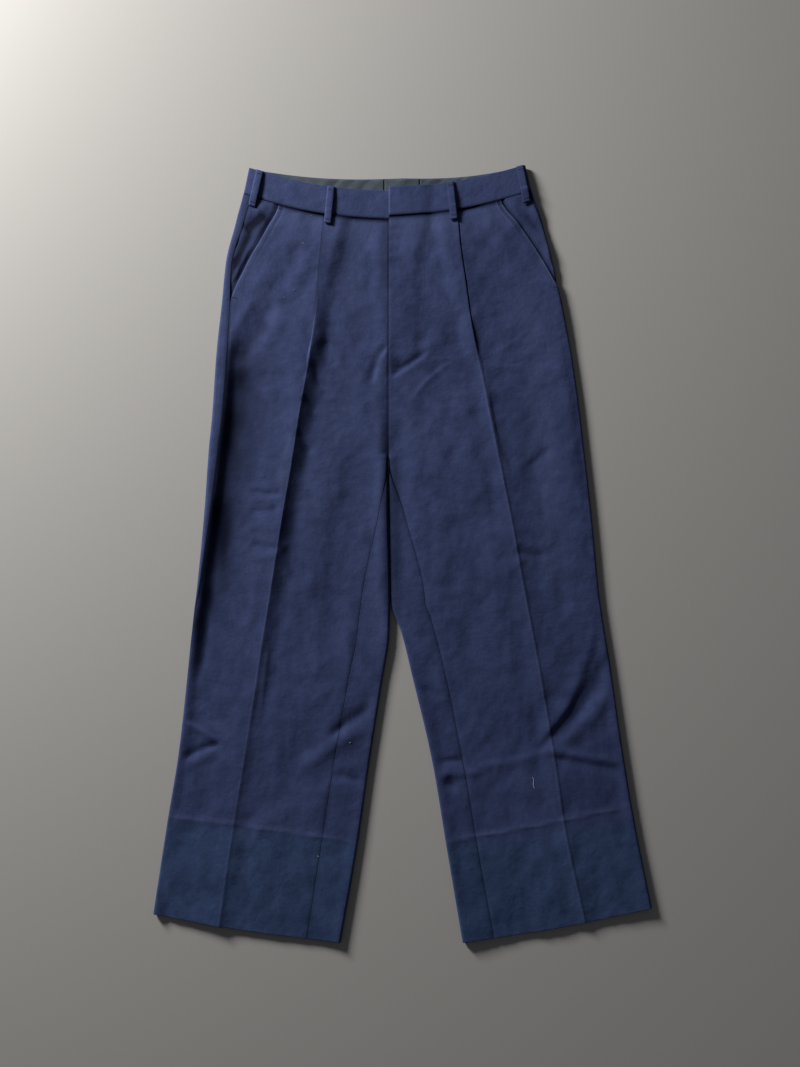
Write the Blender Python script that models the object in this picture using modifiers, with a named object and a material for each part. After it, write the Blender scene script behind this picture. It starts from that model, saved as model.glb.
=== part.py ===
"""Pleated trousers laid flat on their back with the front up, as a Blender script.

The waist lies towards +Y, the hems towards -Y, and the underside rests at z = 0. Sizes are in millimetres
and become metres where a mesh is made. Right and left are the wearer's, so the right leg lies at -X.

Each leg is a flattened tube. A row crosses it from the outer edge to the inner edge, and a ring goes round it
in the row's upright plane: over the top, round the inner edge, back along the floor and up the outer edge.
Every panel is a stretch of these rings, given a wall by Solidify.
"""

import math

import bpy
import numpy as np

MM = 0.001

# The tables count y from the photo's middle; the part counts it from the middle of the trousers
MIDDLE = (0.0, 4.0, 0.0)

# Walls and gaps
WALL = 1.0
BAND_WALL = 1.5
LINING_WALL = 0.7
ZIP_WALL = 0.8
SEAM_GAP = 0.3
LAYER_GAP = 0.4
EDGE_SPARE = 0.35
EDGE_ZONE = 5.0

# Waistband: its height, the room under its back for the belt loops, and the closure's overlap
BAND_HEIGHT = 40.0
BACK_LIFT = 1.3
LIFT_START = 18.0
LIFT_END = 60.0
BAND_REST = 4.85
BAND_ROLL = 1.5
BAND_STEP = 1.8
BAND_UNDERLAP = 40.0
BAND_STEP_SPARE = 3.0
BAND_SETTLES = 18.0
BAND_OVER_PLEAT = 0.6
BAND_DOWNS = (-40.0, -27.0, -13.0, -0.4)
BAND_COLUMNS = 30
LINING_DOWNS = (-38.5, -30.0, -21.0, -12.0)
LININGS = {"right": (-129.0, -21.2), "centre": (-20.8, 26.8), "left": (27.2, 111.0)}
LINING_STEP = 16.0

# Belt loops: x of each one's middle at the band's top and at its lower end
LOOP_WIDTH = 10.0
LOOP_BELOW_SEAM = 13.0
LOOP_SLACK = 0.9
LOOP_REACH = 8.0
LOOP_ROWS = 8
LOOPS = {
    "loop_front_right": ("right", -92.5, -96.5),
    "loop_side_right": ("right", -190.0, -199.5),
    "loop_front_left": ("left", 67.5, 72.5),
    "loop_side_left": ("left", 161.0, 169.5),
}
BACK_LOOPS = {
    "loop_back_right": ("right", -98.0, -98.0),
    "loop_back_centre": ("left", 11.0, 11.0),
    "loop_back_left": ("left", 108.0, 108.0),
}

# Pleats: folded edge towards the pocket, full depth at the waist seam, pressed flat further down
PLEAT_DEPTH = 18.0
PLEAT_LENGTH = 150.0
PLEAT_OPENS = 140.0
PLEAT_OPEN = 235.0
PLEAT_SPARE = 1.5
PLEAT_SETTLES = 36.0
PLEAT_DIP = 1.5
DIP_LENGTH = 70.0
DIP_HALF_WIDTH = 30.0
LEAST_DEPTH = 0.5
PLEAT_EDGE_START = 6.0
PLEAT_EDGE_ZONE = 3.0

# Centre front, fly and crotch
CENTRE_X = -15.0
BACK_SEAM_X = 3.0
FLY_LENGTH = 190.0
FLY_WIDTH = 40.0
FLY_MIDDLE = 18.0
FLY_HALF_SPAN = 24.0
FLY_UNDERLAP = 4.0
UNDERLAP_ENDS = 160.0
UNDERLAP_FADE = 18.0
FLY_STEP = 1.5
STEP_FROM_EDGE = 10.0
STEP_SETTLES = 14.0
STEP_FADE = 24.0
CROTCH_DOWN = 350.0
CROTCH_RISE = 1.6
CROTCH_REACH = 34.0
CROTCH_ZONE = 16.0
CROTCH_GAP = 0.9
CROTCH_FADE = 90.0
STRIP_TOP = 3.0
STRIP_SPARE = 4.0
STRIP_ROWS = 9
SHIELD_SPAN = (-14.0, 24.0)
ZIP_SPAN = (-9.0, 13.0)

# One row for each station down a leg. down: below the waist seam; outer, inner: the row's ends, seen from
# above; crease_x: the pressed front crease; outseam_in, inseam_in: how far each seam lies in from its edge
# over the top, or under it where negative; pocket_in: the same for the front's outer edge, which follows the
# slant pocket; ridge, trough: the crease's height and the hollow inside it; sag: how far the row's middle
# hangs towards the hem; inner_r, outer_r: the rolls of the inner and outer edges.
COLUMNS = ("down", "outer_x", "outer_y", "crease_x", "inner_x", "inner_y",
           "outseam_in", "pocket_in", "inseam_in", "ridge", "trough", "sag", "inner_r", "outer_r")
LEGS = {
    "right": np.array((
        (-40, -206, 503, -98, -15.0, 465, 12, 50, 0, 0.0, 0.0, 8.5, 2.6, 2.3),
        (0, -213, 464, -101, -15.0, 424, 12, 50, 0, 0.0, 0.0, 8.5, 2.6, 2.3),
        (40, -222, 425, -104, -15.0, 375, 11, 42.5, 0, 0.0, 0.0, 7.0, 2.6, 2.5),
        (100, -234, 369, -108, -15.0, 318, 9, 27.8, 0, 0.0, 0.2, 4.5, 2.6, 2.8),
        (158, -238, 310, -113, -15.0, 262, 12, 12, 0, 1.0, 1.0, 2.5, 2.6, 3.1),
        (226, -243, 240, -121, -15.0, 204, 15, 15, 0, 4.2, 1.6, 1.0, 2.6, 3.6),
        (305, -246, 156, -132, -15.0, 140, 14, 14, 0, 6.0, 2.0, 0.0, 2.8, 4.0),
        (350, -249, 111, -138, -15.2, 100, 13, 13, 0, 6.0, 2.0, 0.0, 3.0, 4.1),
        (432, -252, 35, -149, -14.5, 27, 9, 9, 12, 5.6, 1.6, 0.0, 3.2, 4.1),
        (540, -259, -72, -164, -12.2, -83, 4, 4, 36, 5.0, 1.4, 0.0, 3.1, 4.0),
        (580, -263, -114, -170, -13.0, -126, 1, 1, 40, 4.6, 1.2, 0.0, 2.8, 3.9),
        (636, -267, -173, -178, -22.0, -186, -3, -3, 42, 3.8, 1.0, 0.0, 2.3, 3.6),
        (738, -275, -271, -192, -38.0, -288, -13, -13, 43, 3.0, 0.8, 0.0, 2.3, 3.2),
        (820, -286, -353, -204, -50.0, -373, -20, -20, 44, 2.8, 0.6, 1.0, 2.4, 2.8),
        (930, -300, -465, -219, -71.0, -495, -30, -30, 41, 2.6, 0.4, 3.0, 2.6, 2.6),
    )),
    "left": np.array((
        (-40, 169, 498, 73, -15.0, 470, 3, 41.6, 0, 0.0, 0.0, 7.5, 1.9, 2.3),
        (0, 177, 460, 77, -15.0, 428, 3, 41.6, 0, 0.0, 0.0, 7.5, 1.9, 2.3),
        (40, 190, 417, 80, -15.0, 379, 1, 28.5, 0, 0.0, 0.0, 6.5, 1.9, 2.3),
        (100, 203, 357, 87, -15.0, 320, -2, 9.6, 0, 0.4, 0.2, 4.5, 1.9, 2.8),
        (158, 214, 298, 94, -15.0, 264, -3, -3, 0, 1.2, 0.6, 2.5, 1.9, 2.8),
        (226, 224, 232, 105, -15.0, 206, -5, -5, 0, 2.4, 0.9, 1.0, 1.9, 2.3),
        (305, 232, 159, 117, -15.0, 141, -8, -8, 0, 3.0, 1.0, 0.0, 1.9, 2.3),
        (350, 236, 111, 125, -14.2, 100, -9, -9, 0, 2.8, 0.9, 0.0, 1.9, 2.3),
        (432, 243, 25, 140, -13.3, 24, -12, -12, 20, 2.2, 0.8, 0.0, 1.9, 2.3),
        (540, 250, -83, 158, -10.6, -88, -15, -15, 42, 1.9, 0.7, 0.0, 2.0, 2.3),
        (580, 254, -117, 164, 2.0, -126, -16, -16, 42, 1.8, 0.6, 0.0, 2.1, 2.3),
        (636, 260, -162, 172, 15.0, -178, -18, -18, 41, 1.7, 0.6, 0.0, 2.2, 2.3),
        (738, 271, -260, 187, 40.0, -284, -22, -22, 37, 1.6, 0.5, 0.0, 2.3, 2.4),
        (820, 283, -350, 199, 56.0, -380, -26, -26, 37, 1.5, 0.5, 1.0, 2.4, 2.4),
        (930, 300, -451, 220, 75.0, -493, -30, -30, 38, 1.5, 0.4, 3.0, 2.6, 2.6),
    )),
}
BACK_CURVE = {"right": 19.0, "left": 14.0}
BACK_SAG = 5.0
BACK_CURVE_LENGTH = 200.0

# Pocket facings: they end where the pocket is nearly closed, and lie as high as the front where they show
FACING_SHOWN_COLUMNS = 5
FACING_HIDDEN_COLUMNS = 3
FACING_LEAST_SHOWN = 1.5
FACING_REACH = 22.0
FACING_SPARE = 0.15
FACING_TUCKED = 1.5
FACING_DIP = 7.0
FACING_FROM_SEAM = 3.0
FACING_RISE = 5.0

# Heights of the middle of the front cloth, and the room it leaves for the layers under it
FRONT_REST = 3.9
FRONT_AT_WAIST = 4.7
WAIST_SETTLES = 150.0
EDGE_REACH = 12.0
CREASE_OUTSIDE = 34.0
CREASE_INSIDE = 8.0
TROUGH_IN = 17.0
TROUGH_HALF_WIDTH = 13.0
LEAST_CLEAR = 1.3
POCKET_CLEAR = 1.3
FLY_CLEAR = 0.9
CLEAR_END = 165.0
CLEAR_FADE = 45.0
CLEAR_EDGE = 12.0
SOFTNESS = 0.4

# The largest folds, as soft ridges and troughs along straight lines on the front: x0, y0, x1, y1, half width,
# and height, which is under 0 for a trough
FOLDS = np.array((
    (-176, 300, -226, 226, 16, -1.8),
    (-226, 226, -243, -10, 14, -1.8),
    (-243, -10, -256, -190, 14, -1.4),
    (-150, 300, -196, 215, 17, 1.6),
    (-25, 262, -24, 60, 11, 1.6),
    (-24, 60, -22, -90, 11, 1.4),
    (-28, -214, -122, -276, 13, 2.0),
    (-288, -262, -240, -284, 12, 1.6),
    (-262, -362, -268, -420, 15, -1.1),
    (6, 222, 44, 250, 12, 1.8),
    (-2, 190, 2, -60, 14, -1.2),
    (188, -247, 256, -132, 15, -1.8),
    (40, -232, 66, -256, 12, -1.4),
    (190, -276, 272, -282, 13, -1.2),
), float)
FOLD_TAPER = 0.3

# How finely the solids are cut
FOLD_TURNS = 4
SIDE_COLUMNS = 7
CENTRE_COLUMNS = 8
BACK_COLUMNS = 14
SEAM_COLUMN = 0.6
ARC_STEP = 2.0
SPREAD_STEPS = 600
FLAT_STEP = 26.0
ROWS = (0, 16, 36, 60, 86, 112, 134, 150, 166, 184, 204, 228, 258, 292, 324, 350, 362, 384, 412, 444, 480,
        520, 560, 600, 640, 680, 720, 760, 800, 842, 886, 930)


def ease(t):
    """0 before 0, 1 after 1, and smooth between them."""
    t = np.clip(t, 0.0, 1.0)
    return t * t * (3 - 2 * t)


def bell(t):
    """1 at 0, fading smoothly on both sides."""
    return np.exp(-(t**2))


def column(side, name, down):
    """A column of a leg's table as a smooth curve of the distance below the waist seam."""
    table = LEGS[side]
    knots, values = table[:, 0], table[:, COLUMNS.index(name)]
    secants = np.diff(values) / np.diff(knots)
    before, after = secants[:-1], secants[1:]
    turning = before * after <= 0
    inner_slopes = np.where(turning, 0.0, 2 * before * after / np.where(turning, 1.0, before + after))
    slopes = np.concatenate((secants[:1], inner_slopes, secants[-1:]))
    i = int(np.clip(np.searchsorted(knots, down) - 1, 0, len(knots) - 2))
    step = knots[i + 1] - knots[i]
    t = (down - knots[i]) / step
    start = (2 * t**3 - 3 * t**2 + 1) * values[i] + (t**3 - 2 * t**2 + t) * step * slopes[i]
    end = (3 * t**2 - 2 * t**3) * values[i + 1] + (t**3 - t**2) * step * slopes[i + 1]
    return start + end


def back_seam_x(down):
    """Where the centre back seam lies."""
    return CENTRE_X + (BACK_SEAM_X - CENTRE_X) * (1 - down / CROTCH_DOWN)


class Row:
    """One row across a leg or across half of the seat, and the ring round it."""

    def __init__(self, side, down, wall=WALL, roll=None, inner_x=None, height=None):
        self.side, self.down, self.wall = side, down, wall
        self.look = {name: column(side, name, down) for name in COLUMNS[1:]}
        self.height = height or front_height
        self.outer = np.array((self.look["outer_x"], self.look["outer_y"]))
        inner = np.array((self.look["inner_x"] if inner_x is None else inner_x, self.look["inner_y"]))
        self.width = float(np.linalg.norm(inner - self.outer))
        self.along = (inner - self.outer) / self.width
        self.crease = self.at_x(self.look["crease_x"])
        self.opening = max(self.look["pocket_in"], self.look["outseam_in"])
        self.seam_half = SEAM_GAP / 2 + EDGE_SPARE * bell(self.look["outseam_in"] / EDGE_ZONE)
        self.is_tube = down > CROTCH_DOWN
        lifted = BACK_LIFT * (1 - ease((down - LIFT_START) / (LIFT_END - LIFT_START)))
        self.floor = float(lifted) + wall / 2
        self.outer_r, self.inner_r = roll or self.look["outer_r"], self.look["inner_r"]
        self.outer_arc, self.inner_arc = self.outer_r * math.pi / 2, self.inner_r * math.pi / 2
        self.first = wall / 2 + self.outer_r
        self.shoulder = max(self.first, self.look["outseam_in"])
        self.last = self.width - (wall / 2 + self.inner_r if self.is_tube else 0.0)
        self.flat = self.last - self.first
        self.half = self.outer_arc + self.flat + (self.inner_arc if self.is_tube else 0.0)

    def at_x(self, x):
        """Distance along the row where it passes x."""
        return (x - self.outer[0]) / self.along[0]

    def from_outer(self, seen):
        """Distance round the ring for a distance seen from above, over the edge or under it."""
        size = abs(seen)
        round_edge = self.outer_arc * size / self.first
        return math.copysign(round_edge if size < self.first else size - self.first + self.outer_arc, seen)

    def from_inner(self, seen):
        """The same for the inner edge of a leg, over the top."""
        near = self.width - self.last
        if not self.is_tube:
            return seen
        return self.inner_arc * seen / near if seen < near else seen - near + self.inner_arc

    def ring(self, distance, inward=0.0):
        """(s, z) at distances from the outer edge's tip, over the top where positive, under it otherwise."""
        size, over = np.abs(distance), np.asarray(distance) >= 0
        sign = np.where(over, 1.0, -1.0)
        turn = np.clip(size / self.outer_r, 0, math.pi / 2)
        s = self.first - (self.outer_r - inward) * np.cos(turn)
        z = self.floor + self.outer_r + sign * (self.outer_r - inward) * np.sin(turn)
        on_flat = size > self.outer_arc
        s = np.where(on_flat, self.first + size - self.outer_arc, s)
        z = np.where(on_flat, np.where(over, self.top(s), self.floor) - sign * inward, z)
        if self.is_tube:
            past = size - self.outer_arc - self.flat
            turn = np.clip(past / self.inner_r, 0, math.pi / 2)
            s = np.where(past > 0, self.last + self.inner_r * np.sin(turn), s)
            z = np.where(past > 0, self.floor + self.inner_r * (1 + sign * np.cos(turn)), z)
        return s, z

    def top(self, s):
        """Height of the middle of the front cloth at a distance s from the outer edge."""
        return self.height(self, s)

    def plan(self, s, back=False):
        """x and y at distances s along the row."""
        u = np.clip(s / self.width, 0, 1)
        shift = -self.look["sag"] * np.sin(math.pi * u)
        if back:
            near_waist = 1 - ease(self.down / BACK_CURVE_LENGTH)
            curve = BACK_CURVE[self.side] * u**1.4 - BACK_SAG * np.sin(math.pi * u)
            shift = near_waist * curve + (1 - near_waist) * shift
        shift = shift - 2 * self.along[1] * np.maximum(s - self.width, 0)
        return self.outer[0] + self.along[0] * s, self.outer[1] + self.along[1] * s + shift

    def place(self, s, z, back=False):
        """Points at distances s along the row and heights z."""
        x, y = self.plan(s, back)
        return np.stack((x, y, z + 0 * x), axis=-1)


def folds_at(x, y):
    """The sum of the table's ridges and troughs at points seen from above."""
    total = np.zeros_like(x)
    for x0, y0, x1, y1, half_width, height in FOLDS:
        reach = math.hypot(x1 - x0, y1 - y0)
        ux, uy = (x1 - x0) / reach, (y1 - y0) / reach
        t = ((x - x0) * ux + (y - y0) * uy) / reach
        across = (x - x0) * uy - (y - y0) * ux
        fade = ease((t + FOLD_TAPER / 2) / FOLD_TAPER) * ease((1 + FOLD_TAPER / 2 - t) / FOLD_TAPER)
        total += height * fade * bell(across / half_width)
    return total


def fly_step(x, down):
    """How far the left front stands over the right one along the fly."""
    across = 1 - ease((x - CENTRE_X - FLY_WIDTH + STEP_FROM_EDGE) / STEP_SETTLES)
    return FLY_STEP * across * (1 - ease((down - FLY_LENGTH) / STEP_FADE))


def rolled(row, s, z):
    """Heights z raised to the rolled edges, and so to where the rings' turns begin."""
    z = z + (row.floor + 2 * row.outer_r - z) * bell(np.maximum(s - row.shoulder, 0) / EDGE_REACH)
    if row.is_tube:
        z = z + (row.floor + 2 * row.inner_r - z) * bell(np.maximum(row.last - s, 0) / EDGE_REACH)
    return z


def front_height(row, s):
    """The middle of the front cloth: its rest, the crease, the folds and the rolled edges."""
    down, look = row.down, row.look
    x, y = row.plan(s)
    from_crease = s - row.crease
    z = FRONT_REST + (FRONT_AT_WAIST - FRONT_REST) * (1 - ease(down / WAIST_SETTLES))
    z = z - PLEAT_DIP * (1 - ease(down / DIP_LENGTH)) * bell(from_crease / DIP_HALF_WIDTH)
    slope = np.where(from_crease < 0, CREASE_OUTSIDE, CREASE_INSIDE)
    z = z + look["ridge"] * np.exp(-np.abs(from_crease) / slope)
    z = z - look["trough"] * bell((from_crease - TROUGH_IN) / TROUGH_HALF_WIDTH)
    z = z + folds_at(x, y)
    upper = 1 - ease((down - CLEAR_END) / CLEAR_FADE)
    at_pocket = 1 - ease((s - row.opening - FACING_REACH) / CLEAR_EDGE)
    at_fly = 1 - ease((np.abs(x - CENTRE_X - FLY_MIDDLE) - FLY_HALF_SPAN) / CLEAR_EDGE)
    clear = LEAST_CLEAR + upper * np.maximum(POCKET_CLEAR * at_pocket, FLY_CLEAR * at_fly)
    least = row.floor + row.wall / 2 + clear
    z = least + np.logaddexp(0, (z - least) / SOFTNESS) * SOFTNESS
    if row.side == "left":
        z = z + fly_step(x, down)
    return rolled(row, s, z)


def band_height(row, s):
    """The middle of the front of the waistband, higher where the left half lies over the right one."""
    x, _ = row.plan(s)
    z = BAND_REST + BAND_OVER_PLEAT * bell((s - row.crease - PLEAT_DEPTH / 2) / PLEAT_DEPTH)
    if row.side == "left":
        z = z + BAND_STEP * (1 - ease((x - CENTRE_X - BAND_UNDERLAP - BAND_STEP_SPARE) / BAND_SETTLES))
    return rolled(row, s, z)


def spread(start, end, count, arcs):
    """count + 1 distances from start to end, closer together on the arcs."""
    at = np.linspace(start, end, SPREAD_STEPS)
    weight = at / FLAT_STEP
    for low, high in arcs:
        weight = weight + np.clip(at, low, high) * (1 / ARC_STEP - 1 / FLAT_STEP)
    wanted = np.linspace(weight[0], weight[-1], count + 1)
    return np.interp(wanted, weight, at) if end > start else np.interp(-wanted, -weight, at)


def beside_start(distances):
    """Distances with one more just inside the first, so that the edge's wall stands square there."""
    return np.insert(distances, 1, distances[0] + min(SEAM_COLUMN, (distances[1] - distances[0]) / 2))


def beside_end(distances):
    """The same for the last distance."""
    return np.insert(distances, -1, distances[-1] - min(SEAM_COLUMN, (distances[-1] - distances[-2]) / 2))


def pleat_shape(down):
    """Offsets (s, z) of the folded pleat's points from its edge."""
    depth = max(PLEAT_DEPTH * (1 - down / PLEAT_LENGTH), LEAST_DEPTH)
    folded = 1 - float(ease((down - PLEAT_OPENS) / (PLEAT_OPEN - PLEAT_OPENS)))
    arc = math.pi * (WALL + LAYER_GAP) / 2 / FOLD_TURNS
    turns = [(k + 0.5) * math.pi / FOLD_TURNS for k in range(FOLD_TURNS)]
    headings = np.array(turns + [math.pi] + turns[::-1]) * folded
    lengths = np.array([arc] * FOLD_TURNS + [depth] + [arc] * FOLD_TURNS)
    s = np.concatenate(([0.0], np.cumsum(lengths * np.cos(headings))))
    z = np.concatenate(([0.0], np.cumsum(lengths * np.sin(headings))))
    edge = FOLD_TURNS + 1 + FOLD_TURNS // 2
    return s - s[edge], z


def pleat_rise(s, fold_s, fold_z):
    """How far the pleat's top layer is raised over the front cloth, inside the folded edge."""
    return fold_z[-1] * (1 - ease((s - max(fold_s[0], fold_s[-1]) - PLEAT_SPARE) / PLEAT_SETTLES))


def fly_underlap(side, down):
    """How far a front reaches past the centre line under the fly."""
    if side == "left":
        return 0.0
    return FLY_UNDERLAP * (1 - float(ease((down - UNDERLAP_ENDS) / UNDERLAP_FADE)))


def side_distances(row, fold_start):
    """Distances of the front's columns from the pocket or outseam to where the pleat starts."""
    start = row.from_outer(row.opening) + row.seam_half
    arcs = ((-row.outer_arc, row.outer_arc),)
    return beside_start(spread(start, row.from_outer(fold_start), SIDE_COLUMNS, arcs))


def front_row(side, down):
    """The front panel's points on one row, from the pocket or outseam to the centre seam or inseam."""
    row = Row(side, down)
    fold_s, fold_z = pleat_shape(down)
    fold_s = fold_s + row.crease
    s, z = row.ring(side_distances(row, fold_s[0])[:-1])
    centre_start = row.from_outer(fold_s[-1])
    end = row.half - row.from_inner(row.look["inseam_in"]) - SEAM_GAP / 2 + fly_underlap(side, down)
    arcs = ((row.half - row.inner_arc, row.half),)
    centre_s, centre_z = row.ring(beside_end(spread(centre_start, end, CENTRE_COLUMNS, arcs))[1:])
    centre_z = centre_z + pleat_rise(centre_s, fold_s, fold_z)
    return row.place(np.concatenate((s, fold_s, centre_s)),
                     np.concatenate((z, row.top(fold_s) + fold_z, centre_z)))


def back_row(side, down):
    """The back panel's points on one row, from the centre seam or inseam, along the floor, to the outseam."""
    front = Row(side, down)
    row = front if front.is_tube else Row(side, down, inner_x=back_seam_x(down))
    at_crotch = ease((down - CROTCH_DOWN + CROTCH_REACH) / CROTCH_REACH)
    below_crotch = 1 - ease((down - CROTCH_DOWN) / CROTCH_FADE)
    apart = CROTCH_GAP * at_crotch * below_crotch
    if row.is_tube:
        apart -= row.from_inner(row.look["inseam_in"])
    start = row.half + SEAM_GAP / 2 + apart
    end = 2 * row.half + row.from_outer(row.look["outseam_in"]) - row.seam_half
    arcs = ((row.half - row.inner_arc, row.half + row.inner_arc),
            (2 * row.half - row.outer_arc, 2 * row.half + row.outer_arc))
    round_ring = beside_start(beside_end(spread(start, end, BACK_COLUMNS, arcs)))
    distance = np.where(round_ring > row.half, round_ring - 2 * row.half, round_ring)
    s, z = front.ring(distance)
    over = front.place(s, z)
    s, z = row.ring(distance)
    if not row.is_tube:
        z = z + CROTCH_RISE * at_crotch * ease((s - row.width + CROTCH_ZONE) / CROTCH_ZONE)
    under = row.place(s, z, back=True)
    return np.where((distance >= 0)[:, None], over, under)


def facing_span(row):
    """Where a row of the pocket facing starts, at the outseam, and where the front begins to cover it."""
    start = row.from_outer(row.look["outseam_in"]) + row.seam_half + FACING_SPARE
    return start, row.from_outer(row.opening) + row.seam_half


def shows_facing(side, down):
    """Whether the pocket is still open on a row."""
    start, opening = facing_span(Row(side, down))
    return opening - start > FACING_LEAST_SHOWN


def facing_row(side, down):
    """The pocket facing's points: shown from the outseam to the opening, then tucked under the front."""
    row = Row(side, down)
    fold_s, _ = pleat_shape(down)
    hidden = side_distances(row, fold_s[0] + row.crease)[:FACING_HIDDEN_COLUMNS]
    start, opening = facing_span(row)
    shown_part = beside_start(np.linspace(start, opening, FACING_SHOWN_COLUMNS + 1)[:-1])
    distance = np.concatenate((shown_part, hidden))
    shown = ease((opening - distance - FACING_TUCKED) / FACING_DIP)
    shown = shown * ease((opening - start - FACING_FROM_SEAM) / FACING_RISE)
    s, z = row.ring(distance, inward=(WALL + LAYER_GAP + FACING_SPARE) * (1 - shown))
    return row.place(s, z)


def band_row(side, down):
    """Half of the waistband on one row, from the closure over the top and under to the centre back."""
    front = Row(side, down, BAND_WALL, BAND_ROLL, height=band_height)
    back = Row(side, down, BAND_WALL, BAND_ROLL, inner_x=back_seam_x(down), height=band_height)
    start = front.half + (BAND_UNDERLAP if side == "right" else -SEAM_GAP / 2)
    end = -back.half + SEAM_GAP / 2
    distance = spread(start, end, BAND_COLUMNS, ((-front.outer_arc, front.outer_arc),))
    s, z = front.ring(distance)
    over = front.place(s, z)
    s, z = back.ring(distance)
    under = back.place(s, z, back=True)
    return np.where((distance >= 0)[:, None], over, under)


def lining_row(down, start, end):
    """The inside of the back waistband between two places across it."""
    count = max(2, round((end - start) / LINING_STEP))
    points = []
    for x in np.linspace(start, end, count + 1):
        seam = back_seam_x(down)
        row = Row("right" if x < seam else "left", down, BAND_WALL, BAND_ROLL, inner_x=seam)
        z = row.floor + BAND_WALL / 2 + SEAM_GAP + LINING_WALL / 2
        points.append(row.place(row.at_x(x), np.array(z), back=True))
    return np.array(points)


def outside_height(side, down, s):
    """The highest surface of the front at a distance s: the band's, or the panel's with its pleat."""
    if down < 0:
        row = Row(side, down, BAND_WALL, BAND_ROLL, height=band_height)
        return row.top(s) + BAND_WALL / 2
    row = Row(side, down)
    fold_s, fold_z = pleat_shape(down)
    fold_s = fold_s + row.crease
    raised = pleat_rise(s, fold_s, fold_z) * ease((s - row.crease + PLEAT_EDGE_START) / PLEAT_EDGE_ZONE)
    return row.top(s) + raised + WALL / 2


def loop_rows(side, x_top, x_end, back):
    """A belt loop from the band's top to below the waist seam, on the front or under the back."""
    rows = []
    for t in np.linspace(0, 1, LOOP_ROWS):
        down = -BAND_HEIGHT + t * (BAND_HEIGHT + LOOP_BELOW_SEAM)
        row = Row(side, down, inner_x=back_seam_x(down) if back else None)
        middle = row.at_x(x_top + (x_end - x_top) * t)
        s = middle + np.array((-1, 0, 1)) * LOOP_WIDTH / 2
        if back:
            rows.append(row.place(s, np.full(3, WALL / 2), back=True)[::-1])
            continue
        nearby = (outside_height(side, down + step, s).max() for step in (-LOOP_REACH, 0, LOOP_REACH))
        level = max(nearby) + SEAM_GAP + WALL / 2 + LOOP_SLACK * math.sin(math.pi * t)
        rows.append(row.place(s, np.full(3, level)))
    return rows


def strip_rows(span, above_floor):
    """A strip under the closed fly, between two places across it and at a height over the back panel."""
    rows = []
    for down in np.linspace(STRIP_TOP, FLY_LENGTH - STRIP_SPARE, STRIP_ROWS):
        row = Row("left", down)
        s = row.at_x(np.linspace(span[1], span[0], 3))
        rows.append(row.place(s, np.full(3, row.floor + above_floor)))
    return rows


def cloth(name, rows, wall, material):
    """A sheet through rows of points, with its wall."""
    points = (np.array(rows) - MIDDLE) * MM
    count, across = points.shape[:2]
    faces = [(i * across + j, i * across + j + 1, (i + 1) * across + j + 1, (i + 1) * across + j)
             for i in range(count - 1) for j in range(across - 1)]
    mesh = bpy.data.meshes.new(name)
    mesh.from_pydata(points.reshape(-1, 3).tolist(), [], faces)
    mesh.materials.append(material)
    part = bpy.data.objects.new(name, mesh)
    collection.objects.link(part)
    thicken = part.modifiers.new("wall", "SOLIDIFY")
    thicken.thickness = wall * MM
    thicken.offset = 0.0
    thicken.use_even_offset = True
    thicken.use_quality_normals = True
    return part


def plain_material(name, colour, roughness):
    """A material with one colour and roughness."""
    material = bpy.data.materials.new(name)
    material.use_nodes = True
    surface = material.node_tree.nodes["Principled BSDF"]
    surface.inputs["Base Color"].default_value = (*colour, 1.0)
    surface.inputs["Roughness"].default_value = roughness
    surface.inputs["Metallic"].default_value = 0.0
    return material


for existing in list(bpy.data.objects):
    bpy.data.objects.remove(existing, do_unlink=True)
collection = bpy.data.collections.new("pleated_trousers")
bpy.context.scene.collection.children.link(collection)

NAVY = plain_material("navy_cloth", (0.030, 0.040, 0.078), 0.9)
LINING = plain_material("band_lining", (0.055, 0.085, 0.098), 0.8)
TAPE = plain_material("zip_tape", (0.020, 0.026, 0.050), 0.7)

for leg in ("right", "left"):
    cloth(f"front_{leg}", [front_row(leg, down) for down in ROWS], WALL, NAVY)
    cloth(f"back_{leg}", [back_row(leg, down) for down in ROWS], WALL, NAVY)
    facing_rows = [facing_row(leg, down) for down in ROWS if shows_facing(leg, down)]
    cloth(f"pocket_facing_{leg}", facing_rows, WALL, NAVY)
    cloth(f"waistband_{leg}", [band_row(leg, down) for down in BAND_DOWNS], BAND_WALL, NAVY)
for part_name, (left_end, right_end) in LININGS.items():
    cloth(f"band_lining_{part_name}", [lining_row(down, left_end, right_end) for down in LINING_DOWNS],
          LINING_WALL, LINING)
for loop_name, (leg, x_top, x_end) in LOOPS.items():
    cloth(loop_name, loop_rows(leg, x_top, x_end, back=False), WALL, NAVY)
for loop_name, (leg, x_top, x_end) in BACK_LOOPS.items():
    cloth(loop_name, loop_rows(leg, x_top, x_end, back=True), WALL, NAVY)
over_back = WALL / 2 + LAYER_GAP + WALL / 2
cloth("fly_shield", strip_rows(SHIELD_SPAN, over_back), WALL, NAVY)
over_shield = over_back + WALL / 2 + SEAM_GAP + ZIP_WALL / 2
cloth("zip", strip_rows(ZIP_SPAN, over_shield), ZIP_WALL, TAPE)
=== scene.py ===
"""The looks of a pair of pleated trousers, laid flat on the floor with the front up.

The cloth pieces repeat the rows and rings that the solids are made of, cut much finer and with the small
folds, seams and stitches. Sizes are in millimetres and become metres where a mesh is made. Right and left
are the wearer's, so the right leg lies at -X.
"""

import math

import bpy
import numpy as np
from mathutils import Matrix, Vector


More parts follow.
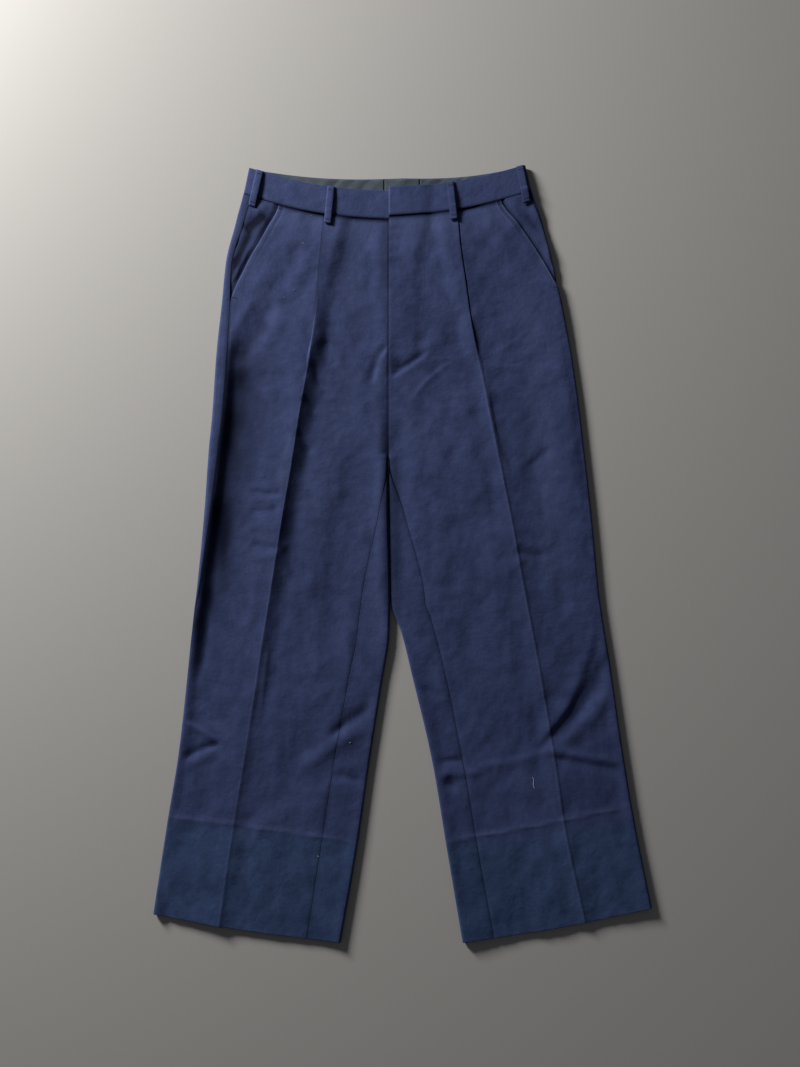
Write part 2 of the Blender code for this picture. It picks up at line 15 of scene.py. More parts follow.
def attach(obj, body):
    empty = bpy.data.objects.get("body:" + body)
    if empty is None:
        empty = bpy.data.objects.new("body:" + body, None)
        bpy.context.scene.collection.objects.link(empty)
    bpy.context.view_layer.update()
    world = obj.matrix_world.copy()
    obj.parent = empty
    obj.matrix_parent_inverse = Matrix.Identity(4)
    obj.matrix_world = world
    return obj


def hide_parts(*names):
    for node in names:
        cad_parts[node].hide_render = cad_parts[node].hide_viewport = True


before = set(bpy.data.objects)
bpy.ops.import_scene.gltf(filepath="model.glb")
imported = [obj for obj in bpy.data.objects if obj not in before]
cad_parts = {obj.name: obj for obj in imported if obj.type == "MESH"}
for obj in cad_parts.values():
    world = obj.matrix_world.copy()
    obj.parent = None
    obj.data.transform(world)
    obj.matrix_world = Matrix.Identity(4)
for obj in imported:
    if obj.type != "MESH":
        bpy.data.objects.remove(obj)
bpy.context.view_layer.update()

MM = 0.001

# The tables count y from the picture's middle; the part counts it from the middle of the trousers
MIDDLE = (0.0, 4.0, 0.0)

# Walls and gaps
WALL = 1.0
BAND_WALL = 1.5
LINING_WALL = 0.7
ZIP_WALL = 0.8
SEAM_GAP = 0.3
LAYER_GAP = 0.4
EDGE_SPARE = 0.35
EDGE_ZONE = 5.0
GROOVE_DEPTH = 0.4
GROOVE_HALF_WIDTH = 2.0

# Waistband: its height, the room under its back for the belt loops, and the closure's overlap
BAND_HEIGHT = 40.0
BACK_LIFT = 1.3
LIFT_START = 18.0
LIFT_END = 60.0
BAND_REST = 4.85
BAND_ROLL = 1.5
BAND_STEP = 1.8
BAND_UNDERLAP = 40.0
BAND_SETTLES = 18.0
BAND_OVER_PLEAT = 0.6
BAND_STEP_PAST = 3.0
BAND_UNEVEN = 0.25
BAND_SWELLS_MORE = 0.4
BAND_TOP = -40.0
BAND_BOTTOM = -0.4
LINING_TOP = -38.5
LINING_BOTTOM = -12.0
LININGS = {"right": (-186.0, -21.2), "centre": (-20.8, 26.8), "left": (27.2, 156.0)}

# Belt loops: x of each one's middle at the band's top and at its lower end
LOOP_WIDTH = 10.0
LOOP_BELOW_SEAM = 13.0
LOOP_SLACK = 1.5
LOOP_CROWN = 0.35
LOOP_CLEARS = (-6, 0, 6)
LOOPS = {
    "loop_front_right": ("right", -92.5, -96.5),
    "loop_side_right": ("right", -190.0, -199.5),
    "loop_front_left": ("left", 67.5, 72.5),
    "loop_side_left": ("left", 161.0, 169.5),
}
BACK_LOOPS = {
    "loop_back_right": ("right", -98.0, -98.0),
    "loop_back_centre": ("left", 11.0, 11.0),
    "loop_back_left": ("left", 108.0, 108.0),
}

# Pleats: folded edge towards the pocket, full depth at the waist seam, pressed flat further down
PLEAT_DEPTH = 18.0
PLEAT_LENGTH = 150.0
PLEAT_OPENS = 140.0
PLEAT_OPEN = 235.0
PLEAT_SETTLES = 20.0
PLEAT_DIP = 1.5
DIP_LENGTH = 40.0
DIP_HALF_WIDTH = 30.0
LEAST_DEPTH = 0.5
PLEAT_BANK = 1.7
PLEAT_SLOT = 1.0
BANK_CREST = 3 * PLEAT_SLOT
BANK_REACH = 14.0
BANK_SPAN = (0.0, 12.0, 175.0, 70.0)
PLEAT_LEVEL = 1.5
PLEAT_LIFT_OUT = 6.0
PLEAT_LIFT_SOFT = 3.0

# Centre front, fly and crotch
CENTRE_X = -15.0
BACK_SEAM_X = 3.0
FLY_LENGTH = 190.0
FLY_WIDTH = 40.0
FLY_UNDERLAP = 4.0
UNDERLAP_ENDS = 30.0
UNDERLAP_FADES = 18.0
FLY_STEP = 1.5
STEP_IN = 10.0
STEP_SOFT = 16.0
STEP_FADES = 24.0
STEP_UNDER_BAND = 15.0
STEP_BAND_LENGTH = 60.0
CROTCH_DOWN = 350.0
CROTCH_RISE = 1.6
CROTCH_REACH = 34.0
CROTCH_RISE_REACH = 16.0
CROTCH_GAP = 0.9
CROTCH_FADE = 90.0
SHIELD_SPAN = (-14.0, 24.0)
ZIP_SPAN = (-9.0, 13.0)
STRIP_TOP = 3.0
STRIP_SHORT = 4.0
STRIP_ROWS = 40
STRIP_COLUMNS = 9

# One row for each station down a leg. down: below the waist seam; outer, inner: the row's ends, seen from
# above; crease_x: the pressed front crease; outseam_in, inseam_in: how far each seam lies in from its edge
# over the top, or under it where negative; pocket_in: the same for the front's outer edge, which follows the
# slant pocket; ridge, trough: the crease's height and the hollow inside it; sag: how far the row's middle
# hangs towards the hem; inner_r, outer_r: the rolls of the inner and outer edges.
COLUMNS = ("down", "outer_x", "outer_y", "crease_x", "inner_x", "inner_y",
           "outseam_in", "pocket_in", "inseam_in", "ridge", "trough", "sag", "inner_r", "outer_r")
LEGS = {
    "right": np.array((
        (-40, -206, 503, -98, -15, 465, 12, 50, 0, 0, 0, 8.5, 2.6, 2.3),
        (0, -213, 464, -101, -15, 424, 12, 50, 0, 0, 0, 8.5, 2.6, 2.3),
        (40, -222, 425, -104, -15, 375, 11, 42.5, 0, 1, 0, 7, 2.6, 2.5),
        (100, -234, 369, -108, -15, 318, 9, 27.8, 0, 1.8, 0.2, 4.5, 2.6, 2.8),
        (158, -238, 310, -113, -15, 262, 12, 12, 0, 2.4, 1, 2.5, 2.6, 3.1),
        (226, -243, 240, -121, -15, 204, 15, 15, 0, 4.2, 1.6, 1, 2.6, 3.8),
        (305, -246, 156, -132, -15, 140, 14, 14, 0, 6, 2, 0, 2.8, 4.3),
        (350, -249, 111, -138, -15.2, 100, 13, 13, 0, 6, 2, 0, 3, 4.4),
        (432, -252, 35, -149, -14.5, 27, 9, 9, 12, 5.6, 1.6, 0, 3.2, 4.4),
        (540, -259, -72, -164, -12.2, -83, 4, 4, 36, 5, 1.4, 0, 3.1, 4.2),
        (580, -263, -114, -170, -13, -126, 1, 1, 40, 4.6, 1.2, 0, 2.8, 4.1),
        (636, -267, -173, -178, -22, -186, -3, -3, 42, 3.8, 1, 0, 2.3, 3.6),
        (738, -275, -271, -192, -38, -288, -13, -13, 43, 3, 0.8, 0, 2.3, 3.2),
        (820, -286, -353, -204, -50, -373, -20, -20, 44, 2.8, 0.6, 1, 2.4, 2.8),
        (930, -300, -465, -219, -71, -495, -30, -30, 41, 2.6, 0.4, 3, 2.6, 2.6),
    )),
    "left": np.array((
        (-40, 169, 498, 73, -15, 470, 3, 41.6, 0, 0, 0, 7.5, 1.9, 2.3),
        (0, 177, 460, 77, -15, 428, 3, 41.6, 0, 0, 0, 7.5, 1.9, 2.3),
        (40, 190, 417, 80, -15, 379, 1, 28.5, 0, 0, 0, 6.5, 1.9, 2.3),
        (100, 203, 357, 87, -15, 320, -2, 9.6, 0, 0.4, 0.2, 4.5, 1.9, 2.8),
        (158, 214, 298, 94, -15, 264, -3, -3, 0, 1.2, 0.6, 2.5, 1.9, 2.8),
        (226, 224, 232, 105, -15, 206, -5, -5, 0, 2.4, 0.9, 1, 1.9, 2.3),
        (305, 232, 159, 117, -15, 141, -8, -8, 0, 3, 1, 0, 1.9, 2.3),
        (350, 236, 111, 125, -14.7, 100, -9, -9, 0, 2.8, 0.9, 0, 1.9, 2.3),
        (432, 243, 25, 140, -14.1, 24, -12, -12, 20, 2.2, 0.8, 0, 1.9, 2.3),
        (540, 250, -83, 158, -11.7, -88, -15, -15, 43.4, 1.9, 0.7, 0, 2, 2.3),
        (560, 252, -100, 161, -5.4, -107, -15.5, -15.5, 43.4, 1.9, 0.7, 0, 2, 2.3),
        (580, 254, -117, 164, 2, -126, -16, -16, 41.3, 1.8, 0.6, 0, 2.1, 2.3),
        (636, 260, -162, 172, 15, -178, -18, -18, 41, 1.7, 0.6, 0, 2.2, 2.3),
        (738, 271, -260, 187, 40, -284, -22, -22, 37, 1.6, 0.5, 0, 2.3, 2.4),
        (820, 283, -350, 199, 56, -380, -26, -26, 37, 1.5, 0.5, 1, 2.4, 2.4),
        (930, 300, -451, 220, 75, -493, -30, -30, 38, 1.5, 0.4, 3, 2.6, 2.6),
    )),
}
LEG_LENGTH = 930.0
BACK_CURVE = {"right": 19.0, "left": 14.0}
BACK_CURVE_POWER = 1.4
BACK_SAG = 5.0
BACK_CURVE_LENGTH = 200.0

# Pocket facings
FACING_LEAST_SHOWN = 1.5
FACING_HIDDEN = 24.0
FACING_REACH = 22.0
FACING_DIP = 7.0
FACING_SPARE = 0.15
FACING_LEVEL = 1.0
FACING_NARROW = 3.0
FACING_OPENS = 10.0
FACING_COLUMNS = 20
HIDDEN_COLUMNS = 9
DIMPLE_TOP = 0.5
HOLLOW_SHARE = 0.5

# Where the facings sink away, and are painted darker there as shade: x0, y0, x1, y1, half width, depth
FACING_HOLLOWS = np.array((
    (-182, 434, -208, 412, 8, 1.3),
    (-203, 408, -221, 362, 6, 1.1),
    (-219, 372, -229, 336, 4, 0.9),
    (168, 428, 182, 404, 4, 0.5),
), float)

# Heights of the middle of the front cloth
FRONT_REST = 4.2
FRONT_AT_WAIST = 4.7
WAIST_SETTLES = 150.0
WAIST_PUFF = 1.5
PUFF_SPAN = (0.0, 45.0, 45.0, 180.0)
EDGE_REACH = 7.5
CREASE_OUTSIDE = {"right": 42.0, "left": 9.0}
CREASE_INSIDE = {"right": 17.0, "left": 18.0}
TROUGH_IN = 15.0
TROUGH_HALF_WIDTH = 12.0
LEAST_CLEAR = 1.3
POCKET_CLEAR = 1.3
FLY_CLEAR = 0.9
FLY_MIDDLE = 18.0
FLY_HALF_WIDTH = 24.0
LAYERS_DOWN = 165.0
LAYERS_FADE = 45.0
LAYERS_SOFT = 12.0
FOLDS_START = -2.0
FOLDS_GROW = 14.0
SOFTNESS = 0.3

# Ridges (height over 0) and troughs (under 0) on the front, seen from above: x0, y0, x1, y1, bow, half width,
# height, lean. bow: how far the line's middle bends to its right; lean: how much wider the fold is there
FOLDS = np.array((
    # The right front: the hollow inside the outseam, then soft folds from the pocket down to the crease
    (-168, 306, -214, 234, 0, 12, -2.8, 0),
    (-196, 312, -240, 244, 0, 8, 1.5, 0),
    (-213, 224, -236, -30, -2, 17, -3.2, -0.2),
    (-235, -30, -252, -180, 0, 9, -2.2, 0.2),
    (-232, 180, -248, 20, 0, 5, 0.9, 0),
    (-150, 300, -196, 215, 0, 15, 1.2, 0.2),
    (-134, 384, -178, 310, 4, 12, -1.3, 0.2),
    (-120, 372, -150, 318, 0, 12, 0.8, 0),
    (-102, 254, -88, 224, 0, 7, -2.2, 0),
    (-113, 226, -98, 194, 2, 5, -1.7, 0),
    (-127, 178, -110, 162, 0, 5, -1.6, 0),
    (-133, 132, -116, 106, 0, 5, -1.5, 0),
    (-122, 206, -104, 184, 0, 6, 1, 0),
    (-190, 56, -153, 52, 2, 4.5, -1.2, 0.3),
    (-192, 43, -156, 44, 0, 5, 0.7, 0),
    (-190, 30, -156, 32, 2, 5, -1, 0.3),
    (-194, 9, -154, 6, 0, 6, 0.9, 0),
    (-188, -14, -154, -20, 0, 5, -1.1, 0.3),
    (-192, -32, -160, -30, 0, 6, 0.7, 0),
    (-149, -22, -116, -54, 0, 8, -1.6, 0.3),
    (-146, -46, -128, -78, 0, 6, 0.8, 0),
    (-52, 94, -92, -140, 4, 17, -2.6, -0.1),
    (-96, 60, -118, -80, 3, 12, 0.5, 0),
    (-18, 248, -36, 202, 3, 4.5, -1.7, 0.4),
    (-13, 238, -30, 198, 0, 5, 0.4, 0),
    (-25, 262, -24, 60, 0, 10, 1.2, 0),
    (-24, 60, -22, -90, 0, 9, 1.2, 0),
    (-23, 424, -25, 262, 0, 14, 1.2, 0),
    (-166, -148, -174, -226, 0, 3, 0.6, 0),
    (-274, -234, -231, -258, -2, 3.5, 2, 0.5),
    (-226, -264, -272, -283, 2, 4.5, -2.4, 0.3),
    (-232, -274, -268, -294, 0, 6, 0.9, 0),
    (-22, -212, -84, -252, 2, 5, -2.2, 0.3),
    (-30, -238, -122, -292, 3, 9, 1.8, 0),
    (-78, -298, -43, -311, 0, 6, -1.8, 0),
    (-262, -362, -268, -420, 0, 15, -0.9, 0),
    # The left front
    (203, 340, 236, -110, 0, 40, 2.4, 0),
    (6, 222, 44, 250, 0, 9, 1.3, 0.3),
    (34, 239, -10, 208, 0, 5.5, -2.3, 0.4),
    (18, 178, 66, 224, -4, 3, 0.8, 0.7),
    (42, 228, 66, 229, 0, 3, 0.6, 0),
    (118, 233, 166, 266, 3, 2.5, 0.55, 0.6),
    (112, 222, 160, 219, 3, 2.5, 0.55, 0.6),
    (72, 170, 92, 158, 0, 4, 0.6, 0),
    (113, 202, 136, 78, 3, 3, 0.7, 0.5),
    (166, 86, 192, 108, 0, 5, -1, 0.3),
    (205, 253, 224, 254, 0, 3, -0.9, 0),
    (-2, 190, 2, -60, 0, 12, -1, 0),
    (146, -26, 184, -31, 0, 5, -1, 0.3),
    (146, -14, 186, -20, 0, 5, 0.6, 0),
    (232, -14, 248, -37, 0, 5, -1, 0),
    (-11, -52, -2, -64, 0, 4, -1.2, 0),
    (244, -116, 190, -246, -4, 8, 1.5, 0.4),
    (177, -263, 280, -122, 5, 7, -2.8, 0.4),
    (196, -262, 262, -196, 4, 9, 1.6, 0),
    (28, -194, 52, -206, 0, 5, -1.2, 0),
    (42, -284, 76, -282, 0, 4, -2.9, 0),
    (42, -297, 96, -295, 2, 5, 1.4, 0),
    (40, -308, 66, -312, 0, 4, -2.6, 0),
    (61, -298, 65, -324, 0, 3, -0.9, 0),
    (52, -296, 58, -300, 0, 6, 0.9, 0),
    (100, -288, 186, -268, 3, 5, 0.9, 0.4),
    (184, -268, 276, -284, 0, 4, 1.2, 0.3),
    (186, -278, 276, -294, 0, 5, -1.5, 0.3),
    (16, 100, 34, -40, 0, 14, 0.6, 0),
    (60, 90, 90, -60, 0, 16, -0.5, 0),
    # Puckers beside the fly
    (-12, 409, 8, 408, 0, 3, -0.8, 0),
    (-12, 396, 4, 395, 0, 3, -0.7, 0),
    (-12, 380, 1, 378, 0, 3, -0.6, 0),
    (-12, 363, -3, 362, 0, 3, -0.5, 0),
    # Old hem creases, and the inner edge of each hem's own turn
    (-288, -350, -205, -358, 0, 2.5, 0.7, 0.3),
    (-205, -358, -55, -378, 0, 2.5, 0.7, 0.3),
    (55, -376, 128, -364, 0, 2.5, 0.7, 0.3),
    (128, -364, 286, -331, 0, 2.5, 0.7, 0.3),
), float)
FOLD_TAPER = 0.3

# Uneven cloth: the size of its bumps across and along, and a seed. The front has three kinds, each with its
# height before it
CRUMPLES = ((1.5, (46.0, 80.0, 3)), (0.72, (17.0, 26.0, 5)), (0.22, (8.0, 11.0, 8)))
BAND_BUMPS = (24.0, 16.0, 12)
BAND_SWELLS = (70.0, 30.0, 14)
FACING_BUMPS = (11.0, 22.0, 33)
SHADE_BUMPS = (16.0, 30.0, 17)
LINING_BUMPS = (7.0, 60.0, 41)
BACK_BUMPS = (34.0, 90.0, 21)
LATTICE = 64

# The few shallow creases of the back: their height, how steep and how scarce they are, and how far inside
# the edges they begin
UNDER_RAISED = 0.4
UNDER_STEEP = 2.0
UNDER_SCARCE = 0.6
UNDER_IN = 20.0

# Painted highlights (over 0) and painted shade (under 0) on the front, beside folds, the fly and the centre
# seam, and lighter wear lines along the old hem creases: x0, y0, x1, y1, half width, amount
TONES = np.array((
    (-21, 424, -21, 330, 8, -0.35),
    (-15.8, 424, -15.8, 230, 1.2, -0.5),
    (-19, 150, -17, -100, 6, -0.6),
    (-6, 70, -3, -100, 7, -0.45),
    (166, 320, 198, -80, 18, 0.14),
    (-62, 400, -68, 300, 12, 0.15),
    (-178, 282, -212, 234, 9, -0.5),
    (200, -250, 268, -134, 5, -0.45),
    (-140, 130, -152, 60, 9, 0.22),
    (-88, 62, -98, 20, 9, 0.22),
    (-60, 40, -92, -120, 9, -0.16),
    (-284, -351, -205, -359, 1.6, 0.35),
    (-205, -359, -55, -378, 1.6, 0.35),
    (55, -376, 128, -364, 1.6, 0.4),
    (128, -364, 280, -333, 1.6, 0.4),
    (113, 202, 136, 78, 1.5, 0.25),
    (-166, -148, -174, -226, 1.2, 0.2),
), float)

# Painted shade (under 0) and painted highlights (over 0) in lines that follow a seam, edge or crease, for the
# shadow in seams, stitches and folds and the light on edges and creases: amount, distance from it and half
# width
SEAM_LINE = (-0.7, 0.0, 1.0)
CENTRE_SEAM_LINE = (-0.28, 0.0, 1.0)
INSEAM_LINE = (-0.35, 0.0, 1.0)
WAIST_SEAM_LINE = (-1.4, 0.0, 2.8)
BAND_SEAM_LINE = (-1.12, 0.0, 2.0)
EDGE_HIGHLIGHT = (0.6, 0.0, 1.2)
STITCH_HIGHLIGHT = (0.3, 7.5, 1.0)
STITCH_SHADE = (-0.35, 5.0, 1.0)
CREASE_HIGHLIGHT = (0.2, 0.0, 1.6)
CREASE_SHADOW = (-0.45, 2.2, 1.3)
PLEAT_SHADOW_LINE = (-0.9, -0.5, 1.4)
OUTER_EDGE_HIGHLIGHT = (0.3, 0.0, 9.0)
OPENING_SHADE = (-0.5, 0.0, 5.0)
LOOP_EDGE_SHADE = (-0.5, 1.0, 1 / 3)
# Painted shade on the part of each facing hidden under the front, and painted light on the front near the
# waist seam
HIDDEN_SHADE = 0.25
WAIST_LIT = 0.19
POCKET_MEETS = 4.0
# Where these lines and shades grow and fade down the leg: the place and the length it takes
WAIST_LIT_ENDS = (8.0, 40.0)
OUTER_EDGE_GROWS = (150.0, 40.0)
CREASE_PRESSED = (110.0, 60.0)
# The painted shade in the dark hollows inside the right leg's outseam and crease: amount, distance, half
# width, where they grow and fade, how much narrower the first gets further down, and how patchy both are
SIDE_SHADE = (0.9, 16.0, 30.0)
SIDE_SHADE_SPAN = (185.0, 70.0, 540.0, 150.0)
SIDE_NARROWS = 0.4
SIDE_NARROWS_AT = (400.0, 220.0)
CREASE_SHADE = (0.5, 3.0, 20.0)
CREASE_SHADE_SPAN = (170.0, 70.0, 430.0, 200.0)
SHADE_LEAST = 0.9
SHADE_PATCHY = 0.25

# The band lining's slanting wrinkles, with painted light and shade that follow their heights, and the painted
# shade at its joins
LINING_SLANT = 0.9
WRINKLE_HEIGHT = 0.3
WRINKLE_LIGHT_AND_SHADE = 0.6
JOIN_SHADE = 1.5

# The flat cut of what shows of each piece: width, length and how much of that rectangle it fills
CUTS = {
    "trouser_front_right": (226, 935, 0.94),
    "trouser_front_left": (262, 934, 0.87),
    "trouser_back_right": (295, 957, 0.87),
    "trouser_back_left": (289, 954, 0.82),
    "slant_pocket_facing_right": (64, 145, 0.74),
    "slant_pocket_facing_left": (64, 157, 0.66),
    "band_right": (460, 41, 0.96),
    "band_left": (371, 42, 0.93),
    "inner_band_right": (165, 27, 0.99),
    "inner_band_centre": (48, 27, 0.99),
    "inner_band_left": (129, 27, 0.99),
    "fly_shield_cloth": (38, 185, 0.99),
    "zip_tape_strip": (22, 185, 0.99),
}
LOOP_CUT = (10.0, 55.0, 0.99)

# Sewing: the length, width and height of one stitch and the pitch of its line; a bar is made of stitches that
# lie across it. The teeth of the closed zip are made the same way.
STITCH = {"along": 2.3, "across": 0.5, "height": 0.26, "pitch": 3.1}
BAR = {"along": 0.45, "across": 2.0, "height": 0.3, "pitch": 0.55}
TOOTH = {"along": 0.9, "across": 3.6, "height": 1.0, "pitch": 1.5}
FLUFF = {"along": 1.3, "across": 0.4, "height": 0.4, "pitch": 0.8}
STITCH_LIFT = 0.04
POCKET_STITCH_IN = 6.5
POCKET_STITCH_STEP = 4.0
POCKET_ENDS = {"right": 150.0, "left": 134.0}
POCKET_BARS = (5.0, -3.0)
BAR_LENGTH = 7.0
BAR_PARTS = (0.15, 0.5, 1.0)
LOOP_BAR_ROW = 3

# The curved line of stitches that holds the fly: below the waist seam, and out from the centre seam
FLY_STITCHES = ((1, 49.0), (60, 48.5), (113, 48.0), (140, 45.0),
                (163, 38.0), (182, 28.0), (199, 17.0), (207, 9.0))
FLY_STITCH_STEPS = 60

# Bits of fluff: x, y, and the run of each short thread
FLUFFS = ((-121, 432, 1.2, 0.3), (-130, 392, 0.9, -0.6), (-141, 326, 1.5, 0.8), (-155, 317, 1.0, 0.2),
          (-62, -261, 1.2, 0.9), (-100, -396, 1.4, -0.4), (162, -301, 1.5, -12.5))
FLUFF_CURL = 0.05
FLUFF_POINTS = 6

# How finely the cloth is cut
FOLD_TURNS = 6
SIDE_COLUMNS = 42
CENTRE_COLUMNS = 52
BACK_COLUMNS = 66
BAND_COLUMNS = 150
SEAM_COLUMN = 0.6
ARC_STEP = 0.7
CREASE_FINE = 5.0
FLAT_STEP = 4.0
LEG_ROWS = 330
BAND_ROWS = 18
LOOP_ROWS = 30
LOOP_COLUMNS = 7
LINING_STEP = 2.0
LINING_ROWS = 16
EDGE_ROW = 0.6
BAND_EDGE_ROW = 0.5
SPREAD_SAMPLES = 2400
HALVINGS = 20

# The worsted: its twill's pitch in metres, the slopes of the twill and of the rib across it, and the rib's
# pitch as a number of the twill's
TWILL_PITCH = 0.0009
TWILL_SLOPE = 0.8
RIB_SLOPE = 1.3
RIB_PITCH = 2.7
# How often in a metre of the cut the yarns change, and then the grain, mottling, clouds, flecks and crumples
WARP = (1400.0, 60.0, 1.0)
WEFT = (70.0, 1500.0, 1.0)
GRAIN = 380.0
MOTTLE = 48.0
CLOUDS = 7.0
FLECKS = 1500.0
CRUMPLED = 85.0
# How much they count in the colour
YARN_SHARE = 0.5
MOTTLE_SHARE = 1.7
CLOUD_SHARE = 1.1
TWILL_SHARE = 0.03
FLECK_LEAST = 0.7
FLECK_STEEP = 9.0
FLECK_MOST = 0.5
# How deep its threads and crumples are, in metres
THREAD_BUMP = 0.00008
CRUMPLE_BUMP = 0.002
# How much of each colour is left where shade is painted into the cloth
SHADED = (0.06, 0.1, 0.16)
# Below the old hem's crease, at this length of the cut, the cloth has faded less, and is bluer
OLD_HEM = 0.817
OLD_HEM_STEEP = 90.0
DEEP_DARK = (0.0228, 0.0405, 0.096)
DEEP_LIGHT = (0.040, 0.066, 0.151)
# The lining's fine streaks
STREAK_SLOPE = 0.9
STREAKS = 160.0
SHEEN_ROUGHNESS = 0.45
SPECULAR = 0.08
# The names of the cloth's UV map and of its tone, which carries painted shade and highlights and the wear
# lines
CUT_MAP = "cut"
TONE = "tone"


def ease(t):
    """0 before 0, 1 after 1, and smooth between them."""
    t = np.clip(t, 0.0, 1.0)
    return t * t * (3 - 2 * t)


def fall(t):
    """1 before 0, 0 after 1, and smooth between them."""
    return 1 - ease(t)


def grown(down, starts, length):
    """0 before a place down the leg, growing smoothly to 1 over a length."""
    return ease((down - starts) / length)


def span(down, starts, grows, ends, fades):
    """1 between two places and 0 outside them, smooth where it grows and fades."""
    return grown(down, starts, grows) * (1 - grown(down, ends, fades))


def line(distance, look, plateau=False):
    """A line of tone at distances from what it follows; a plateau keeps its full amount up to its place."""
    amount, place, half_width = look
    beyond = distance - place
    return amount * bell((np.maximum(beyond, 0) if plateau else beyond) / half_width)


def bell(t):
    """1 at 0, fading smoothly on both sides."""
    return np.exp(-(t**2))


def column(side, name, down):
    """A column of a leg's table as a smooth curve of the distance below the waist seam."""
    table = LEGS[side]
    knots, values = table[:, 0], table[:, COLUMNS.index(name)]
    secants = np.diff(values) / np.diff(knots)
    before, after = secants[:-1], secants[1:]
    turning = before * after <= 0
    inner_slopes = np.where(turning, 0.0, 2 * before * after / np.where(turning, 1.0, before + after))
    slopes = np.concatenate((secants[:1], inner_slopes, secants[-1:]))
    i = int(np.clip(np.searchsorted(knots, down) - 1, 0, len(knots) - 2))
    step = knots[i + 1] - knots[i]
    t = (down - knots[i]) / step
    start = (2 * t**3 - 3 * t**2 + 1) * values[i] + (t**3 - 2 * t**2 + t) * step * slopes[i]
    end = (3 * t**2 - 2 * t**3) * values[i + 1] + (t**3 - t**2) * step * slopes[i + 1]
    return start + end


def back_seam_x(down):
    """Where the centre back seam lies."""
    return CENTRE_X + (BACK_SEAM_X - CENTRE_X) * (1 - down / CROTCH_DOWN)


def uneven(x, y, across, along, seed):
    """Smooth random heights from -1 to 1, with bumps of the given size."""
    lattice = np.random.default_rng(seed).uniform(-1, 1, (LATTICE, LATTICE))
    u, v = x / across + LATTICE / 2, y / along + LATTICE / 2
    i, j = np.floor(u).astype(int), np.floor(v).astype(int)
    a, b = ease(u - i), ease(v - j)
    here, beyond = i % LATTICE, (i + 1) % LATTICE
    rows = (j % LATTICE, (j + 1) % LATTICE)
    low, high = (lattice[here, row] * (1 - a) + lattice[beyond, row] * a for row in rows)
    return low * (1 - b) + high * b


def lines_at(table, x, y):
    """For each line of a table, how far each point is along it, to its right, and how far it has faded."""
    x0, y0, x1, y1 = table[:, 0:4].T[:, :, None]
    reach = np.hypot(x1 - x0, y1 - y0)
    ux, uy = (x1 - x0) / reach, (y1 - y0) / reach
    t = ((x - x0) * ux + (y - y0) * uy) / reach
    across = (x - x0) * uy - (y - y0) * ux
    fade = ease((t + FOLD_TAPER / 2) / FOLD_TAPER) * ease((1 + FOLD_TAPER / 2 - t) / FOLD_TAPER)
    return np.clip(t, 0, 1), across, fade


def folds_at(x, y):
    """The sum of the ridges, troughs and unevenness at points seen from above."""
    bow, half_width, height, lean = FOLDS[:, 4:8].T[:, :, None]
    t, across, fade = lines_at(FOLDS, x, y)
    across = across - bow * 4 * t * (1 - t)
    reach = half_width * (1 + lean * np.tanh(across / half_width))
    total = np.sum(height * fade * bell(across / reach), axis=0)
    for bump, bumps in CRUMPLES:
        total = total + bump * uneven(x, y, *bumps)
    return total


def amounts_at(table, x, y):
    """The sum of a table's lines at points seen from above, each faded at its sides and ends."""
    half_width, amount = table[:, 4:6].T[:, :, None]
    _, across, fade = lines_at(table, x, y)
    return np.sum(amount * fade * bell(across / half_width), axis=0)


